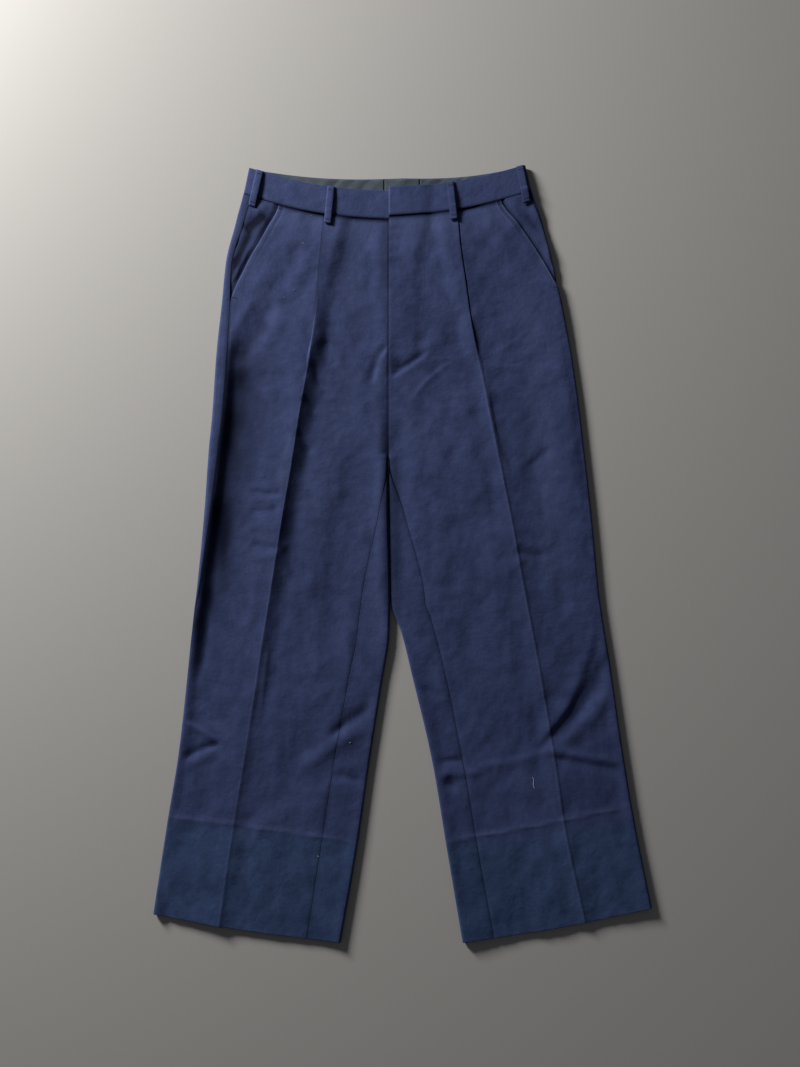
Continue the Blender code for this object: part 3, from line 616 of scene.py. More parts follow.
class Row:
    """One row across a leg or across half of the seat, and the ring round it."""

    def __init__(self, side, down, wall=WALL, roll=None, inner_x=None, height=None):
        self.side, self.down, self.wall = side, down, wall
        self.look = {name: column(side, name, down) for name in COLUMNS[1:]}
        self.height = height or front_height
        self.outer = np.array((self.look["outer_x"], self.look["outer_y"]))
        inner = np.array((self.look["inner_x"] if inner_x is None else inner_x, self.look["inner_y"]))
        self.width = float(np.linalg.norm(inner - self.outer))
        self.along = (inner - self.outer) / self.width
        self.crease = self.at_x(self.look["crease_x"])
        self.opening = max(self.look["pocket_in"], self.look["outseam_in"])
        self.seam_half = SEAM_GAP / 2 + EDGE_SPARE * bell(self.look["outseam_in"] / EDGE_ZONE)
        self.is_tube = down > CROTCH_DOWN
        lifted = BACK_LIFT * fall((down - LIFT_START) / (LIFT_END - LIFT_START))
        self.floor = float(lifted) + wall / 2
        self.outer_r, self.inner_r = roll or self.look["outer_r"], self.look["inner_r"]
        self.outer_arc, self.inner_arc = self.outer_r * math.pi / 2, self.inner_r * math.pi / 2
        self.first = wall / 2 + self.outer_r
        self.shoulder = max(self.first, self.look["outseam_in"])
        self.last = self.width - (wall / 2 + self.inner_r if self.is_tube else 0.0)
        self.flat = self.last - self.first
        self.half = self.outer_arc + self.flat + (self.inner_arc if self.is_tube else 0.0)

    def at_x(self, x):
        """Distance along the row where it passes x."""
        return (x - self.outer[0]) / self.along[0]

    def from_outer(self, seen):
        """Distance round the ring for a distance seen from above, over the edge or under it."""
        size = abs(seen)
        round_edge = self.outer_arc * size / self.first
        return math.copysign(round_edge if size < self.first else size - self.first + self.outer_arc, seen)

    def from_inner(self, seen):
        """The same for the inner edge of a leg, over the top."""
        near = self.width - self.last
        if not self.is_tube:
            return seen
        return self.inner_arc * seen / near if seen < near else seen - near + self.inner_arc

    def ring(self, distance, inward=0.0):
        """(s, z) at distances from the outer edge's tip, over the top where positive, under it otherwise."""
        size, over = np.abs(distance), np.asarray(distance) >= 0
        sign = np.where(over, 1.0, -1.0)
        turn = np.clip(size / self.outer_r, 0, math.pi / 2)
        s = self.first - (self.outer_r - inward) * np.cos(turn)
        z = self.floor + self.outer_r + sign * (self.outer_r - inward) * np.sin(turn)
        on_flat = size > self.outer_arc
        s = np.where(on_flat, self.first + size - self.outer_arc, s)
        z = np.where(on_flat, np.where(over, self.top(s), self.under(s)) - sign * inward, z)
        if self.is_tube:
            past = size - self.outer_arc - self.flat
            radius = self.inner_r - inward
            turn = np.clip(past / self.inner_r, 0, math.pi / 2)
            s = np.where(past > 0, self.last + radius * np.sin(turn), s)
            z = np.where(past > 0, self.floor + self.inner_r + sign * radius * np.cos(turn), z)
        return s, z

    def top(self, s):
        """Height of the middle of the front cloth at a distance s from the outer edge."""
        return self.height(self, s)

    def under(self, s):
        """Height of the middle of the back cloth: flat on the floor, with a few shallow creases raised."""
        x, y = self.plan(s)
        raised = UNDER_RAISED * ease(uneven(x, y, *BACK_BUMPS) * UNDER_STEEP - UNDER_SCARCE)
        inside = ease((s - self.first) / UNDER_IN) * ease((self.last - s) / UNDER_IN)
        return self.floor + raised * inside * (self.down > LIFT_END)

    def plan(self, s, back=False):
        """x and y at distances s along the row."""
        u = np.clip(s / self.width, 0, 1)
        shift = -self.look["sag"] * np.sin(math.pi * u)
        if back:
            near_waist = fall(self.down / BACK_CURVE_LENGTH)
            curve = BACK_CURVE[self.side] * u**BACK_CURVE_POWER - BACK_SAG * np.sin(math.pi * u)
            shift = near_waist * curve + (1 - near_waist) * shift
        shift = shift - 2 * self.along[1] * np.maximum(s - self.width, 0)
        return self.outer[0] + self.along[0] * s, self.outer[1] + self.along[1] * s + shift

    def place(self, s, z, distance=None, back=False, tone=0.0):
        """Samples at distances s along the row and heights z: the place, the place on the cut, the tone."""
        x, y = self.plan(s, back)
        u = s if distance is None else distance
        return np.stack((x, y, z + 0 * x, u + 0 * x, self.down + 0 * x, tone + 0 * x), axis=-1)


def fly_step(x, down):
    """How far the left front stands over the right one along the fly."""
    under_band = STEP_UNDER_BAND * fall(down / STEP_BAND_LENGTH)
    across = fall((x - CENTRE_X - FLY_WIDTH + STEP_IN - under_band) / STEP_SOFT)
    return FLY_STEP * across * fall((down - FLY_LENGTH) / STEP_FADES)


def rolled(row, s, z):
    """Heights z raised to the rolled edges, and so to where the rings' turns begin."""
    z = z + (row.floor + 2 * row.outer_r - z) * bell(np.maximum(s - row.shoulder, 0) / EDGE_REACH)
    if row.is_tube:
        z = z + (row.floor + 2 * row.inner_r - z) * bell(np.maximum(row.last - s, 0) / EDGE_REACH)
    return z


def room_below(row, s, x):
    """The least room under the front, more where it covers a pocket's facing or the fly's layers."""
    upper = fall((row.down - LAYERS_DOWN) / LAYERS_FADE)
    at_pocket = fall((s - row.opening - FACING_REACH) / LAYERS_SOFT)
    at_fly = fall((np.abs(x - CENTRE_X - FLY_MIDDLE) - FLY_HALF_WIDTH) / LAYERS_SOFT)
    return LEAST_CLEAR + upper * np.maximum(POCKET_CLEAR * at_pocket, FLY_CLEAR * at_fly)


def front_height(row, s):
    """The middle of the front cloth: its rest, the crease, the folds and the rolled edges."""
    down, look = row.down, row.look
    x, y = row.plan(s)
    from_crease = s - row.crease
    z = FRONT_REST + (FRONT_AT_WAIST - FRONT_REST) * fall(down / WAIST_SETTLES)
    z = z - PLEAT_DIP * fall(down / DIP_LENGTH) * bell(from_crease / DIP_HALF_WIDTH)
    z = z + WAIST_PUFF * span(down, *PUFF_SPAN)
    slope = np.where(from_crease < 0, CREASE_OUTSIDE[row.side], CREASE_INSIDE[row.side])
    z = z + look["ridge"] * np.exp(-np.abs(from_crease) / slope)
    z = z - look["trough"] * bell((from_crease - TROUGH_IN) / TROUGH_HALF_WIDTH)
    z = z + folds_at(x, y) * ease((down - FOLDS_START) / FOLDS_GROW)
    least = row.floor + row.wall / 2 + room_below(row, s, x)
    z = least + np.logaddexp(0, (z - least) / SOFTNESS) * SOFTNESS
    if row.side == "left":
        z = z + fly_step(x, down) + pleat_bank(-from_crease, down)
    return rolled(row, s, z)


def pleat_bank(outside, down):
    """How far the cloth puffs up beside the pleat's folded edge, which leaves only a slim shadow there."""
    beyond = np.exp(-np.maximum(outside - BANK_CREST, 0) / BANK_REACH)
    puff = ease((outside - PLEAT_SLOT) / PLEAT_SLOT) * beyond
    return PLEAT_BANK * puff * span(down, *BANK_SPAN)


def band_height(row, s):
    """The middle of the front of the waistband, higher where the left half lies over the right one."""
    x, y = row.plan(s)
    z = BAND_REST + BAND_OVER_PLEAT * bell((s - row.crease - PLEAT_DEPTH / 2) / PLEAT_DEPTH)
    z = z + BAND_UNEVEN * uneven(x, y, *BAND_BUMPS)
    z = z + BAND_UNEVEN * ease(uneven(x, y, *BAND_SWELLS) + BAND_SWELLS_MORE)
    if row.side == "left":
        z = z + BAND_STEP * fall((x - CENTRE_X - BAND_UNDERLAP - BAND_STEP_PAST) / BAND_SETTLES)
    return rolled(row, s, z)


def spread(start, end, count, arcs):
    """count + 1 distances from start to end, closer together on the arcs."""
    at = np.linspace(start, end, SPREAD_SAMPLES)
    weight = at / FLAT_STEP
    for low, high in arcs:
        weight = weight + np.clip(at, low, high) * (1 / ARC_STEP - 1 / FLAT_STEP)
    wanted = np.linspace(weight[0], weight[-1], count + 1)
    return np.interp(wanted, weight, at) if end > start else np.interp(-wanted, -weight, at)


def beside_start(distances):
    """Distances with one more just inside the first, so that the edge turns crisply there."""
    return np.insert(distances, 1, distances[0] + min(SEAM_COLUMN, (distances[1] - distances[0]) / 2))


def beside_end(distances):
    """The same for the last distance."""
    return np.insert(distances, -1, distances[-1] - min(SEAM_COLUMN, (distances[-1] - distances[-2]) / 2))


def pleat_shape(down):
    """Offsets (s, z) of the folded pleat's points from its edge."""
    depth = max(PLEAT_DEPTH * (1 - down / PLEAT_LENGTH), LEAST_DEPTH)
    folded = float(fall((down - PLEAT_OPENS) / (PLEAT_OPEN - PLEAT_OPENS)))
    arc = math.pi * (WALL + LAYER_GAP) / 2 / FOLD_TURNS
    turns = [(k + 0.5) * math.pi / FOLD_TURNS for k in range(FOLD_TURNS)]
    headings = np.array(turns + [math.pi] + turns[::-1]) * folded
    lengths = np.array([arc] * FOLD_TURNS + [depth] + [arc] * FOLD_TURNS)
    s = np.concatenate(([0.0], np.cumsum(lengths * np.cos(headings))))
    z = np.concatenate(([0.0], np.cumsum(lengths * np.sin(headings))))
    edge = FOLD_TURNS + 1 + FOLD_TURNS // 2
    return s - s[edge], z


def pleat_rise(s, fold_s, fold_z):
    """How far the pleat's top layer is raised over the front cloth, inside the folded edge."""
    return fold_z[-1] * fall((s - max(fold_s[0], fold_s[-1]) - PLEAT_LEVEL) / PLEAT_SETTLES)


def fly_underlap(side, down):
    """How far a front reaches past the centre line under the fly."""
    if side == "left":
        return 0.0
    return FLY_UNDERLAP * float(fall((down - FLY_LENGTH + UNDERLAP_ENDS) / UNDERLAP_FADES))


def groove(distance, seam):
    """How far the cloth sinks in towards a seam."""
    return GROOVE_DEPTH * bell((distance - seam) / GROOVE_HALF_WIDTH)


def side_distances(row, fold_start):
    """Distances of the front's columns from the pocket or outseam to where the pleat starts."""
    start = row.from_outer(row.opening) + row.seam_half
    crease = row.from_outer(row.crease)
    arcs = ((-row.outer_arc, row.outer_arc), (crease - CREASE_FINE, crease))
    return beside_start(spread(start, row.from_outer(fold_start), SIDE_COLUMNS, arcs))


def right_shade(row, s, from_edge):
    """Painted shade in the dark hollows inside the right leg's outseam and crease, and a painted shadow line
    along its pleat's edge.
    """
    down, from_crease = row.down, s - row.crease
    amount, place, half_width = SIDE_SHADE
    narrower = half_width * (1 - SIDE_NARROWS * grown(down, *SIDE_NARROWS_AT))
    side = span(down, *SIDE_SHADE_SPAN) * line(from_edge, (amount, place, narrower), plateau=True)
    inside = line(from_crease, CREASE_SHADE, plateau=True) * (from_crease > 0)
    beside = span(down, *CREASE_SHADE_SPAN) * inside
    patchy = SHADE_LEAST + SHADE_PATCHY * uneven(*row.plan(s), *SHADE_BUMPS)
    return (1 - grown(down, *CREASE_PRESSED)) * line(from_crease, PLEAT_SHADOW_LINE) - patchy * (side + beside)


def front_tone(row, s, along_cut, below_pocket):
    """How much the front is painted lighter or darker: shade at its seams, hollows and pleat's edge,
    highlights on its edges and creases, and the placed lines.
    """
    down, from_crease = row.down, s - row.crease
    from_edge = along_cut - along_cut[0]
    away = from_crease if row.side == "right" else -from_crease
    tone = amounts_at(TONES, *row.plan(s)) + below_pocket * line(from_edge, SEAM_LINE)
    tone = tone + line(along_cut - along_cut[-1], CENTRE_SEAM_LINE) + line(down, WAIST_SEAM_LINE)
    # Painted highlight on the pocket's edge and beside its stitches, painted shade in the stitches' dent
    at_pocket = line(from_edge, EDGE_HIGHLIGHT) + line(from_edge, STITCH_HIGHLIGHT) + line(from_edge, STITCH_SHADE)
    # Painted highlight on the crease, painted shadow beside it
    crease = line(from_crease, CREASE_HIGHLIGHT) + line(away, CREASE_SHADOW)
    tone = tone + (1 - below_pocket) * at_pocket + grown(down, *CREASE_PRESSED) * crease
    # Painted light on the front near the waist seam
    tone = tone + WAIST_LIT * (1 - grown(down, *WAIST_LIT_ENDS))
    if row.side == "right":
        return tone + right_shade(row, s, from_edge)
    # Painted highlight on the left leg's outer edge
    return tone + grown(down, *OUTER_EDGE_GROWS) * line(from_edge, OUTER_EDGE_HIGHLIGHT)


def front_row(side, down):
    """The front panel's samples on one row, from the pocket or outseam to the centre seam or inseam."""
    row = Row(side, down)
    fold_s, fold_z = pleat_shape(down)
    fold_s = fold_s + row.crease
    outer = side_distances(row, fold_s[0])[:-1]
    below_pocket = ease((row.look["outseam_in"] - row.look["pocket_in"] + POCKET_MEETS) / POCKET_MEETS)
    s, z = row.ring(outer, groove(outer, outer[0]) * (1 + below_pocket) / 2)
    centre_start = row.from_outer(fold_s[-1])
    end = row.half - row.from_inner(row.look["inseam_in"]) - SEAM_GAP / 2 + fly_underlap(side, down)
    arcs = ((row.half - row.inner_arc, row.half),)
    centre = beside_end(spread(centre_start, end, CENTRE_COLUMNS, arcs))[1:]
    centre_s, centre_z = row.ring(centre, groove(centre, end))
    centre_z = centre_z + pleat_rise(centre_s, fold_s, fold_z)
    all_s = np.concatenate((s, fold_s, centre_s))
    all_z = np.concatenate((z, row.top(fold_s) + fold_z, centre_z))
    along_cut = np.concatenate((outer, centre_start + fold_s - fold_s[-1], centre))
    return row.place(all_s, all_z, along_cut, tone=front_tone(row, all_s, along_cut, below_pocket))


def back_row(side, down):
    """The back panel's samples on one row, from the centre seam or inseam along the floor to the outseam."""
    front = Row(side, down)
    row = front if front.is_tube else Row(side, down, inner_x=back_seam_x(down))
    at_crotch = ease((down - CROTCH_DOWN + CROTCH_REACH) / CROTCH_REACH)
    below_crotch = fall((down - CROTCH_DOWN) / CROTCH_FADE)
    apart = CROTCH_GAP * at_crotch * below_crotch
    if row.is_tube:
        apart -= row.from_inner(row.look["inseam_in"])
    start = row.half + SEAM_GAP / 2 + apart
    end = 2 * row.half + row.from_outer(row.look["outseam_in"]) - row.seam_half
    arcs = ((row.half - row.inner_arc, row.half + row.inner_arc),
            (2 * row.half - row.outer_arc, 2 * row.half + row.outer_arc))
    round_ring = beside_start(beside_end(spread(start, end, BACK_COLUMNS, arcs)))
    distance = np.where(round_ring > row.half, round_ring - 2 * row.half, round_ring)
    sunk = groove(round_ring, start) + groove(round_ring, end)
    # Painted shade in the inseam and outseam, and the front's painted lines of light and shade
    tone = line(round_ring - start, INSEAM_LINE) + line(round_ring - end, SEAM_LINE)
    s, z = front.ring(distance, sunk)
    tone = tone + amounts_at(TONES, *front.plan(s)) * (distance >= 0)
    over = front.place(s, z, round_ring, tone=tone)
    s, z = row.ring(distance, sunk)
    if not row.is_tube:
        z = z + CROTCH_RISE * at_crotch * ease((s - row.width) / CROTCH_RISE_REACH + 1)
    under = row.place(s, z, round_ring, back=True, tone=tone)
    return np.where((distance >= 0)[:, None], over, under)


def facing_span(row):
    """Where a row of the pocket facing starts, at the outseam, and where the front begins to cover it."""
    start = row.from_outer(row.look["outseam_in"]) + row.seam_half + FACING_SPARE
    return start, row.from_outer(row.opening) + row.seam_half


def shows_facing(side, down):
    """Whether the pocket is still open on a row."""
    start, opening = facing_span(Row(side, down))
    return opening - start > FACING_LEAST_SHOWN


def facing_row(side, down):
    """The pocket facing's samples: shown from the outseam to the opening, then tucked under the front."""
    row = Row(side, down)
    start, opening = facing_span(row)
    shown_part = beside_start(np.linspace(start, opening, FACING_COLUMNS)[:-1])
    hidden = np.linspace(opening, opening + FACING_HIDDEN, HIDDEN_COLUMNS)
    distance = np.concatenate((shown_part, hidden))
    shown = ease((opening - distance - FACING_LEVEL) / FACING_DIP)
    shown = shown * ease((opening - start - FACING_NARROW) / FACING_OPENS)
    sunk = (WALL + LAYER_GAP + FACING_SPARE) * (1 - shown)
    s, z = row.ring(distance, np.maximum(sunk, groove(distance, start)))
    x, y = row.plan(s)
    dimple = np.minimum(-uneven(x, y, *FACING_BUMPS) * shown, DIMPLE_TOP)
    hollow = shown * amounts_at(FACING_HOLLOWS, x, y)
    # Painted shade at the facing's seam, under the pocket's edge, on its hidden part and in its hollows
    tone = line(distance - start, SEAM_LINE) + line(distance - opening, OPENING_SHADE)
    tone = tone - HIDDEN_SHADE * (1 - shown) - hollow
    return row.place(s, z + dimple - HOLLOW_SHARE * hollow, distance, tone=tone)


def band_row(side, down):
    """Half of the waistband on one row, from the closure over the top and under to the centre back."""
    front = Row(side, down, BAND_WALL, BAND_ROLL, height=band_height)
    back = Row(side, down, BAND_WALL, BAND_ROLL, inner_x=back_seam_x(down), height=band_height)
    start = front.half + (BAND_UNDERLAP if side == "right" else -SEAM_GAP / 2)
    end = -back.half + SEAM_GAP / 2
    distance = spread(start, end, BAND_COLUMNS, ((-front.outer_arc, front.outer_arc),))
    # Painted shade along the band's lower seam
    tone = line(down - BAND_BOTTOM, BAND_SEAM_LINE)
    s, z = front.ring(distance)
    over = front.place(s, z, distance, tone=tone)
    s, z = back.ring(distance)
    under = back.place(s, z, distance, back=True, tone=tone)
    return np.where((distance >= 0)[:, None], over, under)


def lining_row(down, start, end):
    """The inside of the back waistband between two places across it, with its slanting wrinkles."""
    count = max(2, round((end - start) / LINING_STEP))
    samples = []
    for x in np.linspace(start, end, count + 1):
        seam = back_seam_x(down)
        row = Row("right" if x < seam else "left", down, BAND_WALL, BAND_ROLL, inner_x=seam)
        wave = uneven(np.array(x + LINING_SLANT * down), np.array(down), *LINING_BUMPS)
        z = row.floor + BAND_WALL / 2 + SEAM_GAP + LINING_WALL / 2 + WRINKLE_HEIGHT * wave
        # Painted light on the wrinkles' crests and shade in their hollows, and painted shade at the lining's
        # joins
        tone = WRINKLE_LIGHT_AND_SHADE * wave - JOIN_SHADE * (bell(x - start) + bell(x - end))
        samples.append(row.place(row.at_x(x), z, x, back=True, tone=tone))
    return np.array(samples)


def outside_height(side, down, s):
    """The highest surface of the front at a distance s: the band's, or the panel's with its pleat."""
    if down < 0:
        row = Row(side, down, BAND_WALL, BAND_ROLL, height=band_height)
        return row.top(s) + BAND_WALL / 2
    row = Row(side, down)
    fold_s, fold_z = pleat_shape(down)
    fold_s = fold_s + row.crease
    raised = pleat_rise(s, fold_s, fold_z) * ease((s - row.crease + PLEAT_LIFT_OUT) / PLEAT_LIFT_SOFT)
    return row.top(s) + raised + WALL / 2


def loop_rows(side, x_top, x_end, back):
    """A belt loop from the band's top to below the waist seam, on the front or under the back."""
    rows = []
    across = np.linspace(-1, 1, LOOP_COLUMNS)
    crown = LOOP_CROWN * (1 - across**2)
    for t in np.linspace(0, 1, LOOP_ROWS):
        down = -BAND_HEIGHT + t * (BAND_HEIGHT + LOOP_BELOW_SEAM)
        row = Row(side, down, inner_x=back_seam_x(down) if back else None)
        middle = row.at_x(x_top + (x_end - x_top) * t)
        s = middle + across * LOOP_WIDTH / 2
        if back:
            rows.append(row.place(s, WALL / 2 + 0 * s, back=True)[::-1])
            continue
        nearby = [float(np.max(outside_height(side, down + step, s))) for step in LOOP_CLEARS]
        level = max(nearby) + SEAM_GAP + WALL / 2 + LOOP_SLACK * math.sin(math.pi * t)
        # Painted shade along one edge of the loop
        rows.append(row.place(s, level + crown, tone=line(across, LOOP_EDGE_SHADE)))
    return rows


def strip_rows(reach, above_floor):
    """A strip under the closed fly, between two places across it and at a height over the back panel."""
    rows = []
    for down in np.linspace(STRIP_TOP, FLY_LENGTH - STRIP_SHORT, STRIP_ROWS):
        row = Row("left", down)
        s = row.at_x(np.linspace(*reach[::-1], STRIP_COLUMNS))
        rows.append(row.place(s, row.floor + above_floor + 0 * s))
    return rows


def on_front(side, down, s, lift=STITCH_LIFT):
    """A point just above the front cloth, at a distance s from the outer edge."""
    row = Row(side, down)
    s = np.array([s], float)
    return row.place(s, row.top(s) + WALL / 2 + lift)[0, :3]


def pocket_edge(side, down):
    """The distance along a row of the front's edge at the pocket."""
    row = Row(side, down)
    s, _ = row.ring(np.array([row.from_outer(row.opening) + row.seam_half]))
    return float(s[0])


def pocket_stitches(side):
    """The line of stitches beside a pocket's opening."""
    downs = np.arange(1.0, POCKET_ENDS[side], POCKET_STITCH_STEP)
    return [on_front(side, down, pocket_edge(side, down) + POCKET_STITCH_IN) for down in downs]


def pocket_bar(side, down):
    """The bar of stitches across one end of a pocket's edge."""
    edge = pocket_edge(side, down)
    return [on_front(side, down, edge + part * BAR_LENGTH) for part in BAR_PARTS]


def fly_stitches():
    """The line of stitches round the fly's facing."""
    downs, from_centre = np.array(FLY_STITCHES, float).T
    closer = np.linspace(downs[0], downs[-1], FLY_STITCH_STEPS)
    return [on_front("left", down, Row("left", down).width - out)
            for down, out in zip(closer, np.interp(closer, downs, from_centre))]


def loop_bars(rows):
    """The bars of stitches across the two ends of a belt loop."""
    above = np.array((0.0, 0.0, WALL / 2 + STITCH_LIFT))
    return [[sample[:3] + above for sample in rows[at][1:-1]] for at in (LOOP_BAR_ROW, -1 - LOOP_BAR_ROW)]


def row_at(side, x, y):
    """How far below the waist seam the row lies that passes a point seen from above."""
    above, below = 0.0, LEG_LENGTH
    for _ in range(HALVINGS):
        middle = (above + below) / 2
        row = Row(side, middle)
        above, below = (middle, below) if float(row.plan(row.at_x(x))[1]) > y else (above, middle)
    return middle


def fluff_path(x, y, run_x, run_y):
    """A short curled thread lying on the front."""
    points = []
    for t in np.linspace(0, 1, FLUFF_POINTS):
        curl = FLUFF_CURL * math.sin(2 * math.pi * t) * math.hypot(run_x, run_y)
        side = "left" if x > CENTRE_X else "right"
        at_x, at_y = x + run_x * t + curl, y + run_y * t
        down = row_at(side, at_x, at_y)
        points.append(on_front(side, down, Row(side, down).at_x(at_x), lift=FLUFF["height"] / 2))
    return points


def beads_tree(name):
    """Geometry Nodes that set small rounded shapes along paths."""
    tree = bpy.data.node_groups.new(name, "GeometryNodeTree")
    tree.interface.new_socket("Paths", in_out="INPUT", socket_type="NodeSocketGeometry")
    for label in ("Along", "Across", "Height", "Pitch"):
        tree.interface.new_socket(label, in_out="INPUT", socket_type="NodeSocketFloat")
    tree.interface.new_socket("Finish", in_out="INPUT", socket_type="NodeSocketMaterial")
    tree.interface.new_socket("Shapes", in_out="OUTPUT", socket_type="NodeSocketGeometry")
    start = Wire(tree)
    given = [start.node("NodeGroupInput", output=0)]
    given += [Wire(tree, given[0].socket.node.outputs[place]) for place in range(1, 6)]
    paths, along, across, height, pitch, finish = given
    curves = start.node("GeometryNodeMeshToCurve", None, {0: paths})
    level = start.node("GeometryNodeSetCurveNormal", {"mode": "Z_UP"}, {"Curve": curves})
    points = start.node("GeometryNodeCurveToPoints", {"mode": "LENGTH"}, {"Curve": level, "Length": pitch})
    turned = Wire(tree, points.socket.node.outputs["Rotation"])
    size = start.node("ShaderNodeCombineXYZ", None, {0: across * 0.5, 1: height * 0.5, 2: along * 0.5})
    bead = start.node("GeometryNodeMeshUVSphere", None, {"Segments": 6, "Rings": 4, "Radius": 1.0})
    placed = start.node("GeometryNodeInstanceOnPoints", None,
                        {"Points": points, "Instance": bead, "Rotation": turned, "Scale": size})
    real = start.node("GeometryNodeRealizeInstances", None, {"Geometry": placed})
    smooth = start.node("GeometryNodeSetShadeSmooth", None, {"Geometry": real})
    finished = start.node("GeometryNodeSetMaterial", None, {"Geometry": smooth, "Material": finish})
    start.node("NodeGroupOutput", None, {0: finished})
    return tree


def beads(name, paths, sizes, material, slot):
    """A piece made of small rounded shapes along paths, such as stitches."""
    mesh = bpy.data.meshes.new(name + "_paths")
    points = (np.concatenate([np.array(path) for path in paths]) - MIDDLE) * MM
    edges, first = [], 0
    for path in paths:
        edges += [(first + i, first + i + 1) for i in range(len(path) - 1)]
        first += len(path)
    mesh.from_pydata(points.tolist(), edges, [])
    lines = bpy.data.objects.new(name + "_paths", mesh)
    bpy.context.scene.collection.objects.link(lines)
    along_paths = lines.modifiers.new("beads", "NODES")
    along_paths.node_group = BEADS
    values = [sizes[label] * MM for label in ("along", "across", "height", "pitch")] + [material]
    sockets = [item for item in BEADS.interface.items_tree if item.in_out == "INPUT"][1:]
    for item, value in zip(sockets, values):
        along_paths[item.identifier] = value
    evaluated = lines.evaluated_get(bpy.context.evaluated_depsgraph_get())
    made = bpy.data.meshes.new_from_object(evaluated)
    bpy.data.objects.remove(lines, do_unlink=True)
    piece = new_piece(name, made, material)
    ride_on_root(piece, None)
    return piece


def ride_on_root(piece, node):
    """Puts a finished piece on the trousers' one body, in place of a solid where it has one."""
    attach(piece, "root")
    if node:
        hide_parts(node)


def new_piece(name, mesh, material):
    """An object for a mesh, in the scene and with one material."""
    mesh.materials.clear()
    mesh.materials.append(material)
    piece = bpy.data.objects.new(name, mesh)
    bpy.context.scene.collection.objects.link(piece)
    return piece


def cloth(name, rows, wall, material):
    """A sheet through rows of samples, with its wall, its place on the cut as a UV map, and its tone."""
    samples = np.array(rows)
    count, across = samples.shape[:2]
    samples = samples.reshape(-1, 6)
    points = (samples[:, :3] - MIDDLE) * MM
    first = (np.arange(count - 1)[:, None] * across + np.arange(across - 1)).ravel()
    faces = np.stack((first, first + 1, first + across + 1, first + across), axis=-1)
    mesh = bpy.data.meshes.new(name)
    mesh.from_pydata(points.tolist(), [], faces.tolist())
    mesh.uv_layers.new(name=CUT_MAP).data.foreach_set("uv", (samples[faces.ravel(), 3:5] * MM).ravel())
    mesh.attributes.new(TONE, "FLOAT", "POINT").data.foreach_set("value", samples[:, 5].astype(np.float32))
    mesh.polygons.foreach_set("use_smooth", np.ones(len(faces), bool))
    piece = new_piece(name, mesh, material)
    thicken = piece.modifiers.new("wall", "SOLIDIFY")
    thicken.thickness = wall * MM
    thicken.offset = 0.0
    thicken.use_even_offset = True
    thicken.use_quality_normals = True
    return piece


class Wire:
    """A socket of a material's nodes that can be used in Python expressions."""

    def __init__(self, tree, socket=None):
        self.tree, self.socket = tree, socket

    def node(self, kind, settings=None, sockets=None, output=0):
        """Any node, from its type, its settings and then the values or links of its sockets."""
        made = self.tree.nodes.new(kind)
        for name, value in (settings or {}).items():
            setattr(made, name, value)
        for key, value in (sockets or {}).items():
            if isinstance(value, Wire):
                self.tree.links.new(value.socket, made.inputs[key])
            else:
                made.inputs[key].default_value = value
        return Wire(self.tree, made.outputs[output] if made.outputs else None)

    def math(self, operation, first, second=0.0):
        """A Math node on two values."""
        return self.node("ShaderNodeMath", {"operation": operation}, {0: first, 1: second})

    def __add__(self, other):
        return self.math("ADD", self, other)

    def __radd__(self, other):
        return self.math("ADD", other, self)

    def __sub__(self, other):
        return self.math("SUBTRACT", self, other)

    def __mul__(self, other):
        return self.math("MULTIPLY", self, other)

    def wave(self):
        """The sine of the value."""
        return self.math("SINE", self)

    def between(self, low=0.0, high=1.0):
        """The value kept between two limits."""
        return self.node("ShaderNodeClamp", None, {0: self, 1: low, 2: high})

    def part(self, index):
        """One of the vector's three numbers."""
        return self.node("ShaderNodeSeparateXYZ", None, {0: self}, output=index)

    def stretched(self, scale):
        """The vector with each of its numbers scaled."""
        return self.node("ShaderNodeVectorMath", {"operation": "MULTIPLY"}, {0: self, 1: scale})

    def noise(self, scale, detail=2.0):
        """Smooth random values from 0 to 1 over the vector."""
        return self.node("ShaderNodeTexNoise", None, {"Vector": self, "Scale": scale, "Detail": detail})

    def mixed(self, first, second):
        """The colour between two colours or wires, at the value from 0 to 1."""
        first, second = (end if isinstance(end, Wire) else (*end, 1.0) for end in (first, second))
        return self.node("ShaderNodeMix", {"data_type": "RGBA"}, {0: self, 6: first, 7: second}, output=2)

    def bumped(self, height, distance, strength, under=None):
        """The surface's direction with a height worked into it, over another one's where given."""
        sockets = {"Height": height, "Distance": distance, "Strength": strength}
        return self.node("ShaderNodeBump", None, sockets | ({"Normal": under} if under else {}))


def new_material(name, roughness, sheen=0.0, sheen_tint=(1.0, 1.0, 1.0)):
    """An empty material, its shader and a wire to start its nodes from."""
    material = bpy.data.materials.new(name)
    material.use_nodes = True
    shader = material.node_tree.nodes["Principled BSDF"]
    shader.inputs["Roughness"].default_value = roughness
    shader.inputs["Sheen Weight"].default_value = sheen
    shader.inputs["Sheen Roughness"].default_value = SHEEN_ROUGHNESS
    shader.inputs["Sheen Tint"].default_value = (*sheen_tint, 1.0)
    shader.inputs["Specular IOR Level"].default_value = SPECULAR
    return material, shader, Wire(material.node_tree)


def connect(material, shader, **wires):
    """Links wires to the shader's sockets, named with underscores for spaces."""
    for name, wire in wires.items():
        material.node_tree.links.new(wire.socket, shader.inputs[name.replace("_", " ")])


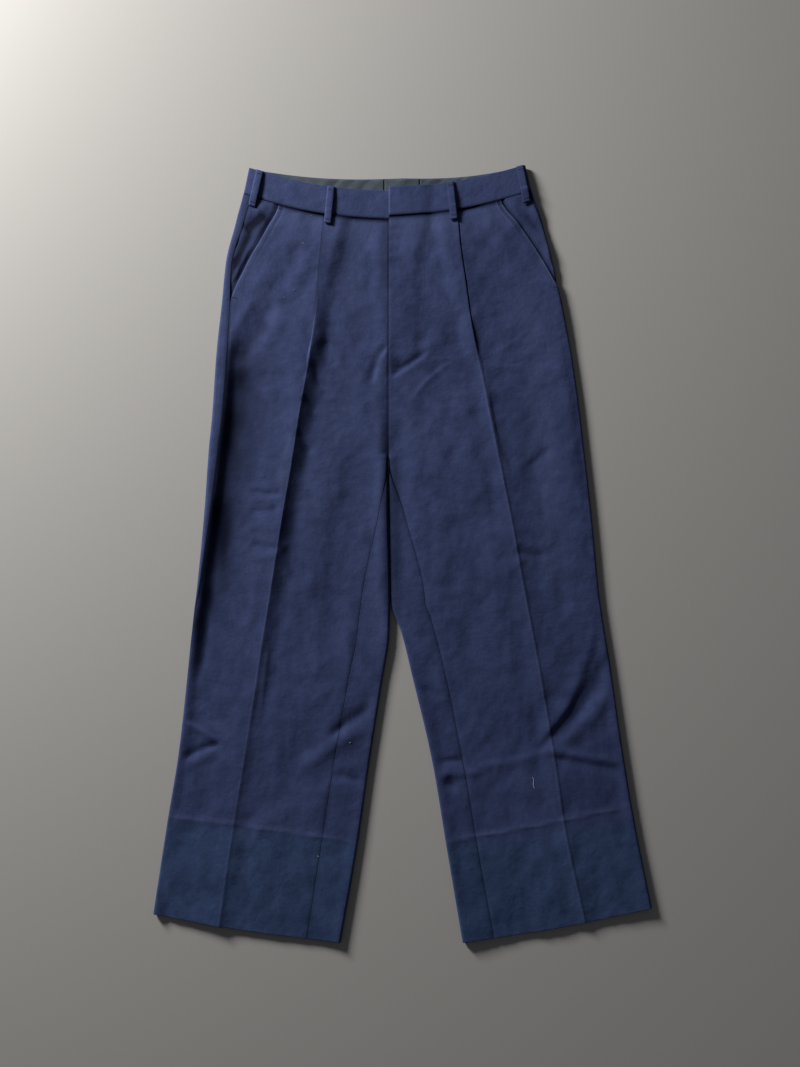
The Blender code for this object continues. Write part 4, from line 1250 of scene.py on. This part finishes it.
def suiting(name, dark, light, worn_and_lit):
    """Navy worsted: a fine twill, faintly streaked yarns, soft mottling, wear lines, and painted shade and
    highlights.
    """
    material, shader, start = new_material(name, roughness=0.82, sheen=0.015, sheen_tint=(0.55, 0.65, 1.0))
    cut = start.node("ShaderNodeUVMap", {"uv_map": CUT_MAP})
    across, down = cut.part(0), cut.part(1)
    twill = ((across + down * TWILL_SLOPE) * (2 * math.pi / TWILL_PITCH)).wave()
    rib = ((across - down * RIB_SLOPE) * (2 * math.pi / (TWILL_PITCH * RIB_PITCH))).wave()
    warp, weft = cut.stretched(WARP).noise(1.0), cut.stretched(WEFT).noise(1.0)
    mottle, cloudy, grain = cut.noise(MOTTLE, 4.0), cut.noise(CLOUDS), cut.noise(GRAIN)
    tone = start.node("ShaderNodeAttribute", {"attribute_name": TONE}, output=2)
    yarns = (warp - 0.5) * YARN_SHARE + (weft - 0.5) * YARN_SHARE + (grain - 0.5)
    blotches = (mottle - 0.5) * MOTTLE_SHARE + (cloudy - 0.5) * CLOUD_SHARE
    mix = (0.5 + yarns + blotches + twill * TWILL_SHARE).between()
    below_old_hem = ((down - OLD_HEM) * OLD_HEM_STEEP).between()
    plain = below_old_hem.mixed(mix.mixed(dark, light), mix.mixed(DEEP_DARK, DEEP_LIGHT))
    flecks = ((cut.noise(FLECKS, 1.0) - FLECK_LEAST) * FLECK_STEEP).between(0.0, FLECK_MOST)
    # Painted highlights from the tone, the wear lines and the random flecks mix towards the lighter colour
    lifted = (tone + flecks).between().mixed(plain, worn_and_lit)
    shaded = [share * part for share, part in zip(SHADED, dark)]
    # Painted shade from the tone mixes towards a share of the dark colour
    colour = (tone * -1.0).between().mixed(lifted, shaded)
    crumpled = cut.noise(CRUMPLED, 4.0)
    threads = start.bumped(twill * 0.5 + rib * 0.2 + warp * 0.8 + weft * 0.8, THREAD_BUMP, 0.5)
    soft = start.bumped(crumpled, CRUMPLE_BUMP, 0.4, threads)
    connect(material, shader, Base_Color=colour, Roughness=0.78 + mottle * 0.12, Normal=soft)
    return material


def lining_cloth(name, dark, light):
    """Grey-green waistband lining with a slight shine."""
    material, shader, start = new_material(name, roughness=0.55)
    cut = start.node("ShaderNodeUVMap", {"uv_map": CUT_MAP})
    tone = start.node("ShaderNodeAttribute", {"attribute_name": TONE}, output=2)
    streaks = (cut.part(0) + cut.part(1) * STREAK_SLOPE) * STREAKS
    fine = cut.noise(90.0, 3.0)
    # The tone brings the painted shade at the joins and the painted light and shade of the wrinkles
    mix = 0.5 + tone * 0.6 + (fine - 0.5) * 0.5 + streaks.wave() * 0.05
    colour = mix.between().mixed(dark, light)
    weave = cut.stretched((1500.0, 1500.0, 1.0)).noise(1.0)
    connect(material, shader, Base_Color=colour, Roughness=0.5 + fine * 0.15,
            Normal=start.bumped(weave, 0.0001, 0.4))
    return material


def plain_finish(name, dark, light, roughness, metallic=0.0):
    """A small part's finish, slightly uneven."""
    material, shader, start = new_material(name, roughness)
    shader.inputs["Metallic"].default_value = metallic
    place = start.node("ShaderNodeTexCoord", output=3)
    fine = place.noise(900.0, 2.0)
    connect(material, shader, Base_Color=fine.mixed(dark, light),
            Normal=start.bumped(fine, 0.0001, 0.3))
    return material


# The third colour is the lighter one, for painted highlights, wear lines and flecks
NAVY = suiting("navy_worsted", (0.0262, 0.0368, 0.095), (0.0432, 0.0582, 0.144), (0.082, 0.107, 0.22))
LINING = lining_cloth("band_lining_cloth", (0.018, 0.028, 0.036), (0.08, 0.1, 0.125))
TAPE = plain_finish("navy_zip_tape", (0.014, 0.018, 0.036), (0.026, 0.032, 0.058), 0.7)
THREAD = plain_finish("navy_thread", (0.02, 0.026, 0.055), (0.034, 0.044, 0.09), 0.6)
BRASS = plain_finish("zip_teeth_brass", (0.32, 0.22, 0.09), (0.45, 0.33, 0.15), 0.35, metallic=1.0)
LINT = plain_finish("pale_lint", (0.5, 0.52, 0.55), (0.7, 0.7, 0.7), 0.8)
SEWN = (THREAD, "navy_cloth")

BEADS = beads_tree("beads_along_paths")


def rows_down(top, bottom, count, edge):
    """Places from top to bottom, with one more just inside each end, so that the edges turn crisply."""
    return np.concatenate(([top, top + edge], np.linspace(top, bottom, count)[1:-1], [bottom - edge, bottom]))


def sheet(name, rows, node, wall=WALL, material=NAVY, sewing=()):
    """A sheet of cloth on the trousers' body in place of a solid, laid there with its sewing."""
    piece = cloth(name, rows, wall, material)
    ride_on_root(piece, node)
    width, length, filled = CUTS.get(name, LOOP_CUT)
    width * MM
    length * MM
    width * length * filled * MM * MM
    [beads(*stitches) for stitches in sewing]


def leg_pieces(leg, downs, band_downs):
    """The back, pocket facing, front and half of the waistband of one leg."""
    back, facing, front = f"trouser_back_{leg}", f"slant_pocket_facing_{leg}", f"trouser_front_{leg}"
    sheet(back, [back_row(leg, down) for down in downs], f"back_{leg}")
    facing_rows = [facing_row(leg, down) for down in downs if shows_facing(leg, down)]
    sheet(facing, facing_rows, f"pocket_facing_{leg}")
    bars = [pocket_bar(leg, down) for down in (POCKET_BARS[0], POCKET_ENDS[leg] + POCKET_BARS[1])]
    sewing = [(f"pocket_stitches_{leg}", [pocket_stitches(leg)], STITCH, *SEWN),
              (f"pocket_bars_{leg}", bars, BAR, *SEWN)]
    if leg == "left":
        sewing.append(("fly_stitches", [fly_stitches()], STITCH, *SEWN))
    sheet(front, [front_row(leg, down) for down in downs], f"front_{leg}", sewing=sewing)
    band_rows = [band_row(leg, down) for down in band_downs]
    sheet(f"band_{leg}", band_rows, f"waistband_{leg}", BAND_WALL)


def belt_loop(name, leg, x_top, x_end):
    """A belt loop with its bars of stitches, or a plain one under the back."""
    behind = name in BACK_LOOPS
    rows = loop_rows(leg, x_top, x_end, behind)
    sewing = [] if behind else [(f"bars_{name}", loop_bars(rows), BAR, *SEWN)]
    sheet(f"belt_{name}", rows, name, sewing=sewing)


def closed_fly():
    """The fly shield and the closed zip on its tape, under the fly."""
    over_back = WALL / 2 + LAYER_GAP + WALL / 2
    shield_rows = strip_rows(SHIELD_SPAN, over_back)
    sheet("fly_shield_cloth", shield_rows, "fly_shield")
    rows = strip_rows(ZIP_SPAN, over_back + WALL / 2 + SEAM_GAP + ZIP_WALL / 2)
    above_tape = np.array((0.0, 0.0, ZIP_WALL / 2))
    path = [row[len(row) // 2, :3] + above_tape for row in rows]
    sheet("zip_tape_strip", rows, "zip", ZIP_WALL, TAPE,
          [("zip_teeth", [path], TOOTH, BRASS, "zip_tape")])


leg_downs = rows_down(0.0, LEG_LENGTH, LEG_ROWS, EDGE_ROW)
band_downs = rows_down(BAND_TOP, BAND_BOTTOM, BAND_ROWS, BAND_EDGE_ROW)
lining_downs = np.linspace(LINING_TOP, LINING_BOTTOM, LINING_ROWS)
for leg_name in ("right", "left"):
    leg_pieces(leg_name, leg_downs, band_downs)
for part_name, (left_end, right_end) in LININGS.items():
    sheet(f"inner_band_{part_name}", [lining_row(down, left_end, right_end) for down in lining_downs],
          f"band_lining_{part_name}", LINING_WALL, LINING)
for loop_name, place in (LOOPS | BACK_LOOPS).items():
    belt_loop(loop_name, *place)
closed_fly()
beads("fluff", [fluff_path(*fluff) for fluff in FLUFFS], FLUFF, LINT, "navy_cloth")

# Floor, light and camera, in metres
FLOOR_HALF = 4.0
FLOOR_Z = -0.0003
FLOOR_COLOUR = (0.37, 0.36, 0.345, 1.0)
ROOM_COLOUR = (0.9, 0.93, 1.0, 1.0)
ROOM_STRENGTH = 0.08
CAMERA_TILT = math.radians(7.32)
CAMERA_TURN = math.radians(2.20)
CAMERA_PLACE = (0.0394, -0.1346, 1.0162)
SENSOR_WIDTH = 36.0
LENS = 27.03
bpy.context.scene.view_settings.view_transform = "Standard"
floor_mesh = bpy.data.meshes.new("floor")
corners = [(x * FLOOR_HALF, y * FLOOR_HALF, FLOOR_Z) for x, y in ((-1, -1), (1, -1), (1, 1), (-1, 1))]
floor_mesh.from_pydata(corners, [], [(0, 1, 2, 3)])
floor_material, floor_shader, floor_wire = new_material("pale_floor", roughness=0.9)
floor_shader.inputs["Base Color"].default_value = FLOOR_COLOUR
floor = new_piece("floor", floor_mesh, floor_material)

world = bpy.data.worlds.new("pale_room")
world.use_nodes = True
background = world.node_tree.nodes["Background"]
background.inputs["Color"].default_value = ROOM_COLOUR
background.inputs["Strength"].default_value = ROOM_STRENGTH
bpy.context.scene.world = world


def soft_light(name, place, aim, size, watts, colour):
    """A square area light at a place, turned to where it aims."""
    light = bpy.data.lights.new(name, "AREA")
    light.size, light.energy, light.color = size, watts, colour
    lamp = bpy.data.objects.new(name, light)
    lamp.location = place
    lamp.rotation_euler = (Vector(aim) - Vector(place)).to_track_quat("-Z", "Y").to_euler()
    bpy.context.scene.collection.objects.link(lamp)


soft_light("window", place=(-1.52, 1.40, 0.72), aim=(0.0, 0.0, 0.0), size=0.5, watts=88.0,
           colour=(1.0, 0.99, 0.97))

forward = Vector((-math.sin(CAMERA_TURN), math.sin(CAMERA_TILT) * math.cos(CAMERA_TURN),
                  -math.cos(CAMERA_TILT) * math.cos(CAMERA_TURN))).normalized()
to_right = forward.cross(Vector((0, 1, 0))).normalized()
upward = to_right.cross(forward)
camera_data = bpy.data.cameras.new("camera")
camera_data.sensor_width = SENSOR_WIDTH
camera_data.lens = LENS
camera = bpy.data.objects.new("camera", camera_data)
camera.matrix_world = (Matrix.Translation(CAMERA_PLACE)
                       @ Matrix((to_right, upward, -forward)).transposed().to_4x4())
bpy.context.scene.collection.objects.link(camera)
bpy.context.scene.camera = camera
